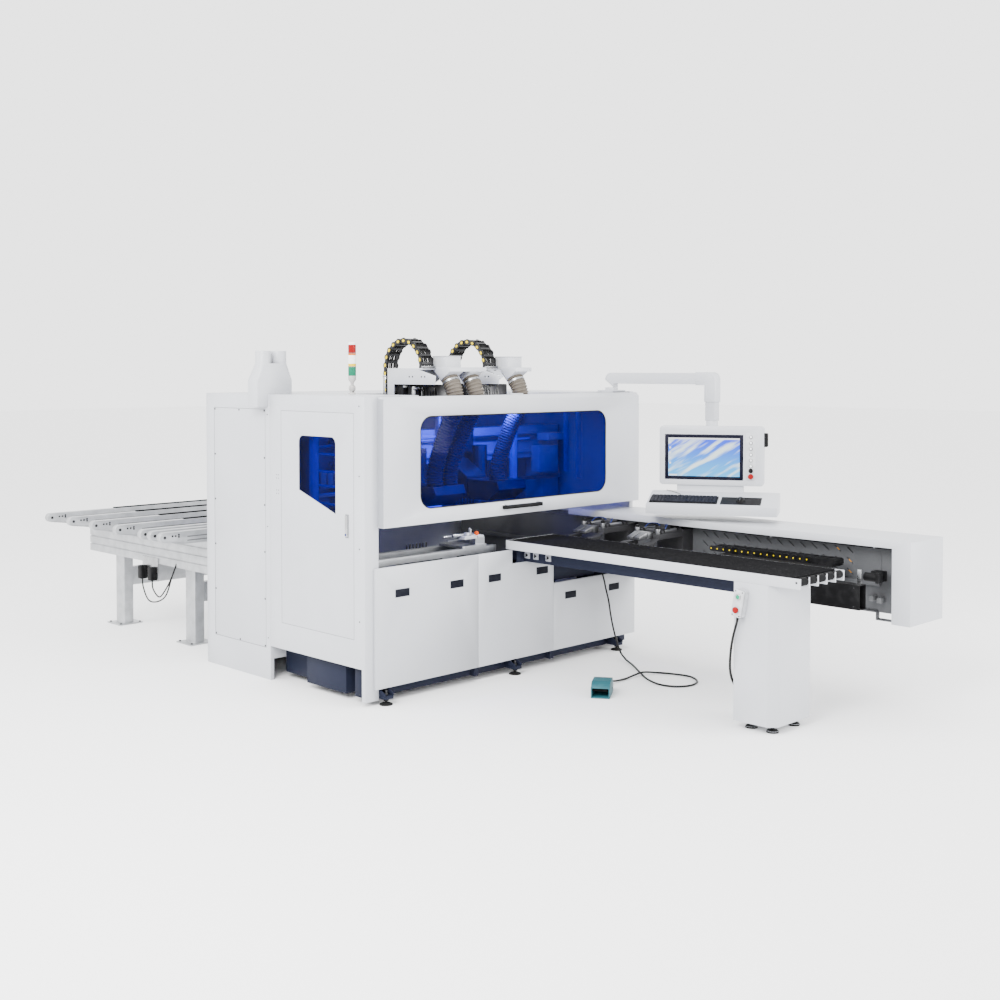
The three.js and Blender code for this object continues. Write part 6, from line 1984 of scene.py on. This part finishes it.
@dataclass
class LegBox:
    """The start and stop box on the table's leg."""

    origin: Point = (1324.7, -2035, 790)
    tilt: float = 0.17
    depth: float = 55
    start_z: float = 42
    stop_z: float = -40
    sides: int = 28

    def carried(self, piece: bpy.types.Object) -> bpy.types.Object:
        """Carries a piece made about the corner to the box."""
        return swung(piece, self.origin, self.tilt, "X")

    def build(self) -> None:
        """Builds the lid's joint, the rings, the buttons and the lead's gland."""
        d = self.depth
        rounded_copy("control_box", BOX_WHITE, 2.5)
        lid = [(-d + 14, y, z) for y, z in rounded((-35.2, -85.2), (35.2, 85.2), 12)]
        joint = rod_of([*lid, lid[0]], 0.8, 1)
        fitted(self.carried(joint), "box_joint", DARK_METAL, "machine")
        corners = [drum(Axis.X, 4.5, (-d - 0.6, y, z), 2, 14) for y in (-25, 25) for z in (-75, 75)]
        fitted(self.carried(joined(corners)), "box_screws", SCREW, "machine")
        start_at, stop_at = (-d, 0, self.start_z), (-d, 0, self.stop_z)
        profile = [(0, 19), (-6, 19), (-8, 16.5), (-8, 13.3), (0, 13.3)]
        ring = turned(profile, Axis.X, start_at, self.sides)
        fitted(self.carried(ring), "start_ring", SILVER_Z, "machine")
        start = turned([(4, 12.8), (-6, 12.8), (-7.5, 11), (-7.8, 0)], Axis.X, start_at, self.sides)
        fitted(self.carried(start), "start_cap", START_GREEN, "start_button", "start_button")
        collar = turned([(0, 17), (-1.2, 17), (-1.6, 15), (-1.6, 9.6)], Axis.X, stop_at, self.sides)
        fitted(self.carried(collar), "stop_ring", BOX_WHITE, "machine")
        profile = [(3.6, 0), (3.6, 8.5), (-7, 8.5), (-7, 19), (-12, 19.9), (-17, 18.8), (-19.6, 14), (-20, 0)]
        stop = turned(profile, Axis.X, stop_at, 30)
        fitted(self.carried(stop), "stop_cap", RED, "stop_button", "stop_button")
        nut = joined(
            [drum(Axis.Z, 10.5, (-d / 2, 0, -92), 9, 6, 0.8), drum(Axis.Z, 8, (-d / 2, 0, -101), 10, 18)]
        )
        fitted(self.carried(nut), "box_gland", BLACK, "machine")
        self.lead()

    def lead(self) -> None:
        """The box's own black lead, which goes in behind the leg."""
        start = Matrix.Rotation(self.tilt, 3, "X") @ Vector((-self.depth / 2, 0, -98)) + Vector(self.origin)
        knots = [
            tuple(start),
            (1297, -2014, 670),
            (1297, -2008, 650),
            (1297, -1985, 570),
            (1299, -1968, 480),
            (1314, -1953, 370),
            (1345, -1946, 300),
            (1374, -1944, 262),
            (1388, -1952, 242),
            (1390, -1969, 238),
        ]
        fitted(rod_of(through(knots, 6), 8.0), "box_lead", LEAD_BLACK, "machine")


@dataclass
class GripperBeam:
    """The gripper beam's slot lining, drag chain and small fittings."""

    face: float = 2450
    chain_left: float = 2215
    chain_right: float = 2325
    chain_front: float = -1985
    link: float = 51.8
    links: int = 16
    lobe: float = 19
    chain_z: float = 951
    slot_rows: tuple[float, ...] = (1013, 941, 868)
    slot_first: float = -2125
    slot_pitch: float = 91

    def build(self) -> None:
        """Adds the slots' lining, the drag chain, the seams, the motors and the brackets."""
        self.lining()
        self.drag_chain()
        self.fittings()

    def lining(self) -> None:
        """Dark lining behind the slots, with orange stops in some of them."""
        lining = slab((self.face + 9, -2200, 840), (self.face + 12, -850, 1040), 0)
        fitted(lining, "slot_lining", BLACK, "machine")
        stops = []
        for row, columns in zip(self.slot_rows, ((1,), (0, 1), (0,))):
            for column in columns:
                y = self.slot_first + self.slot_pitch * column
                stops.append(slab((self.face + 1, y - 8, row - 10), (self.face + 9, y + 16, row + 8), 2))
        fitted(joined(stops), "slot_stops", ORANGE, "machine")

    def cheek(self) -> list[tuple[float, float]]:
        """A drag link's outline: round lobes at both ends."""
        half = self.link / 2
        points = []
        for sign, start in ((1, -math.pi / 2), (-1, math.pi / 2)):
            for step in range(9):
                angle = start + math.pi * step / 8
                along = sign * half + self.lobe * math.cos(angle)
                points.append((along, self.chain_z + self.lobe * math.sin(angle)))
        return points

    def drag_chain(self) -> None:
        """The links of the drag chain on its shelf, with yellow dots at their joints."""
        pieces, dots = [], []
        for i in range(self.links):
            y = self.chain_front + (i + 0.5) * self.link
            inset = 4.5 * (i % 2)
            left, right = self.chain_left + inset, self.chain_right - inset
            outline = [(y + a, b) for a, b in self.cheek()]
            pieces += [plate(Axis.X, outline, left, left + 4), plate(Axis.X, outline, right - 4, right)]
            pieces += [slab((left + 2, y - 9, z), (right - 2, y + 9, z + 5), 1, 1) for z in (931, 966)]
            joint = (self.chain_left - 0.6, y + self.link / 2, self.chain_z)
            dots.append(drum(Axis.X, 5, joint, 2.4, 14, 0.6))
        fitted(joined(pieces), "drag_chain", CHAIN_BLACK, "machine")
        fitted(joined(dots), "drag_chain_dots", YELLOW, "machine")
        cables = [
            rod_of([(self.chain_left + x, self.chain_front + y, 946) for y in (-40, 850)], r)
            for x, r in ((24, 8), (46, 6), (66, 9), (88, 6))
        ]
        fitted(joined(cables), "drag_chain_cables", RUBBER, "machine")

    def fittings(self) -> None:
        """The face's seams, the bright upright, the motors, the brackets and the trunk's screws."""
        seams = [
            slab((self.face - 0.8, y, 842), (self.face + 0.4, y + 3, 1085), 0.3, 1) for y in (-2353, -1320)
        ]
        fitted(joined(seams), "beam_seams", DARK_METAL, "machine")
        upright = slab((2190, -2350, 790), (2206, -2322, 930), 2)
        fitted(upright, "chain_upright", SILVER_Z, "machine")
        motors = [
            drum(Axis.Y, 28, (2260, -2384, 880), 88, 24, 2),
            slab((2232, -2448, 846), (2292, -2426, 912), 3),
            slab((2330, -2420, 840), (2400, -2340, 908), 4),
        ]
        fitted(joined(motors), "beam_motor", BLACK, "machine")
        brackets = [
            slab((2390, -2384, 690), (2449, -2350, 724), 3),
            slab((2390, -2326, 698), (2449, -2292, 732), 3),
        ]
        fitted(joined(brackets), "beam_brackets", GROOVE_GREY, "machine")
        bend = [
            (-2200, 630),
            (-2200, 618),
            (-2320, 618),
            (-2320, 568),
            (-2502, 568),
            (-2502, 580),
            (-2332, 580),
            (-2332, 630),
        ]
        fitted(plate(Axis.X, bend, 2436, 2466, 1), "beam_strap", DARK_METAL, "machine")
        trunk = [(2012, y, z) for y in (-2400, -1850, -1300, -750, -200) for z in (722, 840)]
        screws("trunk_screws", "machine", Axis.X, trunk, 5, -2)


@dataclass
class Gripper:
    """A gripper's cylinders, knobs, valves, air lines and jaw pads."""

    place_name: str
    y: float
    reach: float = 94
    cylinder_x: float = 2064
    cylinder_z: float = 1044

    def build(self) -> None:
        """Rounds the body and adds its cylinders, knobs, valves and air lines."""
        body = "gripper_" + self.place_name
        jaw = "jaw_" + self.place_name
        rounded_copy("gripper_" + self.place_name, GRIPPER_GREY, 0.4)
        rounded_copy("gripper_jaw_" + self.place_name, STEEL, 0.4)
        cylinders, knobs, caps = [], [], []
        for side in (-1, 1):
            x, y, z = self.cylinder_x, self.y + side * self.reach, self.cylinder_z
            cylinders += [
                drum(Axis.Z, 19, (x, y, z - 1), 50, 24, 2),
                drum(Axis.Z, 11, (x, y, z - 32), 30, 18),
                drum(Axis.X, 15, (x + 136, y, z), 170, 22, 2),
            ]
            profile = [(0, 7), (0, 15), (14, 15), (17, 12), (17, 0)]
            knobs.append(turned(profile, Axis.Z, (x, y, z + 24), 20))
            caps += [drum(Axis.X, 18, (x + along, y, z), 14, 22, 1.5) for along in (58, 216)]
        fitted(joined(cylinders), f"gripper_cylinders_{self.place_name}", STEEL, body)
        fitted(joined([*knobs, *caps]), f"gripper_knobs_{self.place_name}", BLACK, body)
        shells = [
            slab((2100, self.y - 50, 1030), (2200, self.y + 50, 1052), 5),
            slab((2220, self.y - 34, 1030), (2300, self.y + 34, 1068), 5),
        ]
        fitted(joined(shells), f"gripper_valves_{self.place_name}", GRIPPER_GREY, body)
        lines = []
        for side in (-1, 1):
            knots = [
                (2240, self.y + side * 20, 1066),
                (2232, self.y + side * 40, 1084),
                (2190, self.y + side * 82, 1086),
                (2150, self.y + side * 92, 1060),
            ]
            lines.append(rod_of(through(knots, 6), 3.2))
        fitted(joined(lines), f"gripper_lines_{self.place_name}", AIR_BLUE, body)
        pads = [
            slab((1898, self.y + s * 32 - 24, 996), (1930, self.y + s * 32 + 24, 1000.2), 1) for s in (-1, 1)
        ]
        fitted(joined(pads), f"jaw_pads_{self.place_name}", RUBBER, jaw)


@dataclass
class Outfeed:
    """The outfeed arms' belts, grooves, end caps and nose bolts, the posts' bolts and the valves."""

    rows: tuple[float, ...] = (2225, 2372, 2519, 2917, 3315, 3713, 4111)
    nose_x: float = -190
    right: float = 2400
    top: float = 970
    width: float = 52
    groove_rows: tuple[float, float] = (892, 922)
    belt_start: float = 600
    bolts: tuple[tuple[float, float], ...] = ((70, 938), (97, 938), (125, 946), (125, 930))
    post_x: tuple[float, float] = (302, 2202)
    post_y: tuple[float, float] = (2570, 3720)
    anchor: float = 90
    valve_y: tuple[float, float] = (3010, 3170)

    def build(self) -> None:
        """Lays a belt on each arm and adds its grooves and fittings."""
        belts = [self.belt(y) for y in self.rows]
        fitted(joined(belts), "arm_belts", BELT_BLACK, "machine")
        grooves = []
        for y in self.rows:
            for side in (-1, 1):
                face = y + side * self.width / 2
                for z in self.groove_rows:
                    low, high = (self.nose_x + 200, face - 0.5, z), (self.right - 20, face + 0.5, z + 9)
                    grooves.append(slab(low, high, 0.2, 1))
        fitted(joined(grooves), "arm_grooves", GROOVE_GREY, "machine")
        ends, bolts = [], []
        for y in self.rows:
            ends.append(slab((self.right - 2, y - 25, 872), (self.right + 0.3, y + 25, 968), 1))
            for side in (-1, 1):
                face = y + side * (self.width / 2 + 0.6)
                bolts.append(drum(Axis.Y, 12, (self.nose_x + 4, face, 932), 3, 20))
                bolts += [drum(Axis.Y, 8, (self.nose_x + along, face, z), 3, 14) for along, z in self.bolts]
        fitted(joined(ends), "arm_end_caps", BLACK, "machine")
        fitted(joined(bolts), "nose_bolts", SCREW, "machine")
        self.feet()
        self.valves()

    def belt(self, y: float) -> bpy.types.Object:
        """The stretch of flat belt that lies open on an arm's top."""
        half = self.width / 2 - 6
        low = (self.nose_x + self.belt_start, y - half, self.top - 2)
        return slab(low, (self.right - 30, y + half, self.top + 8), 1, 1)

    def feet(self) -> None:
        """The anchor bolts of the posts' plates."""
        spots = []
        for x in self.post_x:
            for y in self.post_y:
                reach = (-self.anchor, self.anchor)
                spots += [(x + dx, y + dy, 10) for dx in reach for dy in reach]
        screws("post_bolts", "machine", Axis.Z, spots, 10, 8)

    def valves(self) -> None:
        """Two valve blocks on a plate at the left crossbeam, and their hoses."""
        blocks = [slab((138, y - 30, 470), (190.4, y + 30, 580), 4) for y in self.valve_y]
        fitted(joined(blocks), "outfeed_valves", BLACK, "machine")
        fitted(slab((190, 2965, 462), (199.6, 3215, 655), 1.5), "valve_plate", SILVER_Z, "machine")
        lines = []
        for y, low in zip(self.valve_y, (350, 300)):
            knots = [
                (164, y, 474),
                (160, y - 15, 410),
                (152, y - 130, low),
                (152, 2790, low + 60),
                (172, 2705, 540),
                (204, 2690, 640),
            ]
            lines.append(rod_of(through(knots, 8), 6))
        fitted(joined(lines), "valve_lines", LEAD_BLACK, "machine")


@dataclass
class BaseDetails:
    """The base's feet, the side pusher's fittings and the machinery behind the windows."""

    feet: tuple[float, ...] = (154, 1371, 2517)
    foot_y: float = -28

    def build(self) -> None:
        """Adds the feet's pads, gussets and bolts, the pusher and the inner machinery."""
        y = self.foot_y
        for index, x in enumerate(self.feet):
            pad = turned([(0, 0), (0, 38), (8, 38), (14, 30), (18, 12), (18, 0)], Axis.Z, (x, y, 0), 32)
            fitted(pad, f"foot_pad_{index}", RUBBER, "machine")
            outline = [(46, 104), (-6, 104), (-62, 80), (-64, 63), (46, 63)]
            cheeks = [plate(Axis.X, outline, x + a, x + a + 6, 1) for a in (-38, 32)]
            fitted(joined(cheeks), f"foot_gusset_{index}", NAVY, "machine")
            bolt = joined([drum(Axis.Z, 15, (x, y, 71), 15, 6, 1), drum(Axis.Z, 9, (x, y, 84), 30, 18, 1)])
            fitted(bolt, f"foot_bolt_{index}", SCREW, "machine")
        self.inside()
        self.pusher()

    def pusher(self) -> None:
        """The side pusher's clamp block, cylinders, valve and orange knob."""
        blocks = [
            slab((985, 92, 1007), (1105, 140, 1030), 2),
            slab((1010, 98, 1030), (1036, 132, 1052), 2),
            slab((1130, 110, 1007), (1190, 190, 1022), 2),
        ]
        fitted(joined(blocks), "pusher_blocks", BOX_WHITE, "pusher")
        bars = [
            drum(Axis.Z, 9, (1060, 116, 1052), 46, 18, 1),
            drum(Axis.Z, 7, (1112, 180, 1040), 68, 16, 1),
            drum(Axis.X, 10, (1080, 215, 1022), 200, 20, 1),
            drum(Axis.X, 6, (1000, 250, 1016), 160, 16, 1),
        ]
        fitted(joined(bars), "pusher_cylinders", SILVER, "pusher")
        knob = turned([(0, 0), (0, 13), (16, 15), (20, 12), (20, 0)], Axis.Y, (1090, 92, 1046), 22)
        fitted(knob, "pusher_knob", KNOB_ORANGE, "pusher")

    def inside(self) -> None:
        """Guide rails, covers, valves and looms that show through the windows."""
        rails = [slab((150, 727, z), (2680, 735, z + 30), 2) for z in (1320, 1660)]
        fitted(joined(rails), "gantry_guides", SILVER, "machine")
        boxes = [slab((170 + i * 62, 700, 1380), (222 + i * 62, 734, 1500), 4) for i in range(5)]
        boxes += [
            slab((2330, 640, 1380), (2560, 734, 1600), 8), slab((2400, 600, 1640), (2600, 734, 1700), 6)
        ]
        fitted(joined(boxes), "valve_bank", BOX_WHITE, "machine")
        column = slab((2080, 692, 1200), (2128, 734, 1900), 3)
        rod = drum(Axis.X, 9, (2206, 712, 1660), 160, 20)
        fitted(joined([column, rod]), "blue_column", COLUMN_BLUE, "machine")
        guards = [
            slab((2290, 200, 1360), (2350, 206, 2016), 2), slab((2215, 262, 1420), (2270, 268, 2016), 2)
        ]
        fitted(joined(guards), "inner_guards", LOOM_GREY, "machine")
        post = slab((70, 655, 1250), (120, 700, 1900), 3)
        bars = [drum(Axis.Y, 9, (96, 470, z), 300, 18) for z in (1296, 1420, 1520, 1640)]
        fitted(joined([post, *bars]), "side_post", COLUMN_BLUE, "machine")
        looms = []
        for i in range(5):
            x = 300 + i * 46
            knots = [
                (x, 720, 1500),
                (x - 10, 660, 1610),
                (x + 120, 640, 1760),
                (x + 330, 690, 1820),
                (x + 520, 720, 1700),
            ]
            looms.append(rod_of(through(knots, 8), 9 + (i % 2) * 4))
        fitted(joined(looms), "inner_looms", LOOM_GREY, "machine")


@dataclass
class Studio:
    """The floor, the lights and the camera of the photograph."""

    lens: float = 46.23
    shift: float = -0.0927
    eye: Point = (-5263, -6559, 2223)
    tilt: float = 88.3
    heading: float = -44.777

    def build(self) -> None:
        """Makes the floor, three soft lamps, a small one inside, the world light and the camera."""
        self.floor()
        self.world()
        self.lamp("key", (-5200, -2600, 5600), 3600, 1000)
        self.lamp("fill", (5200, -7400, 2800), 3600, 520)
        self.lamp("back", (-5200, 4200, 5600), 3600, 300)
        self.lamp("inner", (1400, 72, 1972), 110, 34, (1400, 735, 1450))
        self.camera()

    def floor(self) -> None:
        """A pale plain floor."""
        clear_selection()
        bpy.ops.mesh.primitive_plane_add(size=120, location=place(1300, 700, 0))
        ground = apply_place(bpy.context.object)
        ground.name = "floor"
        graph = Graph("floor_paint")
        graph.set(Base_Color=(0.93, 0.93, 0.93), Roughness=0.9, Specular_IOR_Level=0.1)
        ground.data.materials.append(graph.material)

    def world(self) -> None:
        """A near white surrounding light."""
        world = bpy.data.worlds.new("studio")
        bpy.context.scene.world = world
        world.use_nodes = True
        light = world.node_tree.nodes["Background"]
        light.inputs[0].default_value = (1.0, 1.0, 1.0, 1.0)
        light.inputs[1].default_value = 3.0

    def lamp(self, name: str, at: Point, size: float, watts: float, aim: Point = (1300, 400, 900)) -> None:
        """A soft square lamp that faces a point of the machine."""
        data = bpy.data.lights.new(name, "AREA")
        data.size = size * MILLIMETRE
        data.energy = watts
        lamp = bpy.data.objects.new(name, data)
        bpy.context.scene.collection.objects.link(lamp)
        lamp.location = place(*at)
        lamp.rotation_euler = (place(*aim) - lamp.location).to_track_quat("-Z", "Y").to_euler()

    def camera(self) -> None:
        """The camera, at the photograph's place."""
        data = bpy.data.cameras.new("camera")
        data.lens = self.lens
        data.sensor_width = 36
        data.shift_y = self.shift
        data.clip_end = 200
        eye = bpy.data.objects.new("camera", data)
        bpy.context.scene.collection.objects.link(eye)
        eye.location = place(*self.eye)
        eye.rotation_euler = (math.radians(self.tilt), 0, math.radians(self.heading))
        bpy.context.scene.camera = eye


def main() -> None:
    """Builds every sub-assembly and reports it."""
    logging.basicConfig(level=logging.INFO, format="%(message)s")
    steps = [
        Studio().build,
        PedalLead().build,
        Covers().build,
        Carried().dress,
        SheetDetails().build,
        FrontPanels().build,
        EnergyChain("left", 750).build,
        EnergyChain("right", 1371).build,
        DustHoses("left", 860, (5, 208), (-75, 65), "dust_hoses_left").build,
        DustHoses("right", 1481, (40,), (-75,), "dust_hose_right").build,
        SaddleTop("left", 860).build,
        SaddleTop("right", 1481).build,
        LightTower().build,
        FootPedal().build,
        Console().build,
        FeedTable().build,
        LegBox().build,
        GripperBeam().build,
        Gripper("front", -700).build,
        Gripper("rear", -180).build,
        Outfeed().build,
        BaseDetails().build,
    ]
    for step in steps:
        step()
        log.info("built %s", step.__qualname__)


if __name__ == "__main__":
    main()
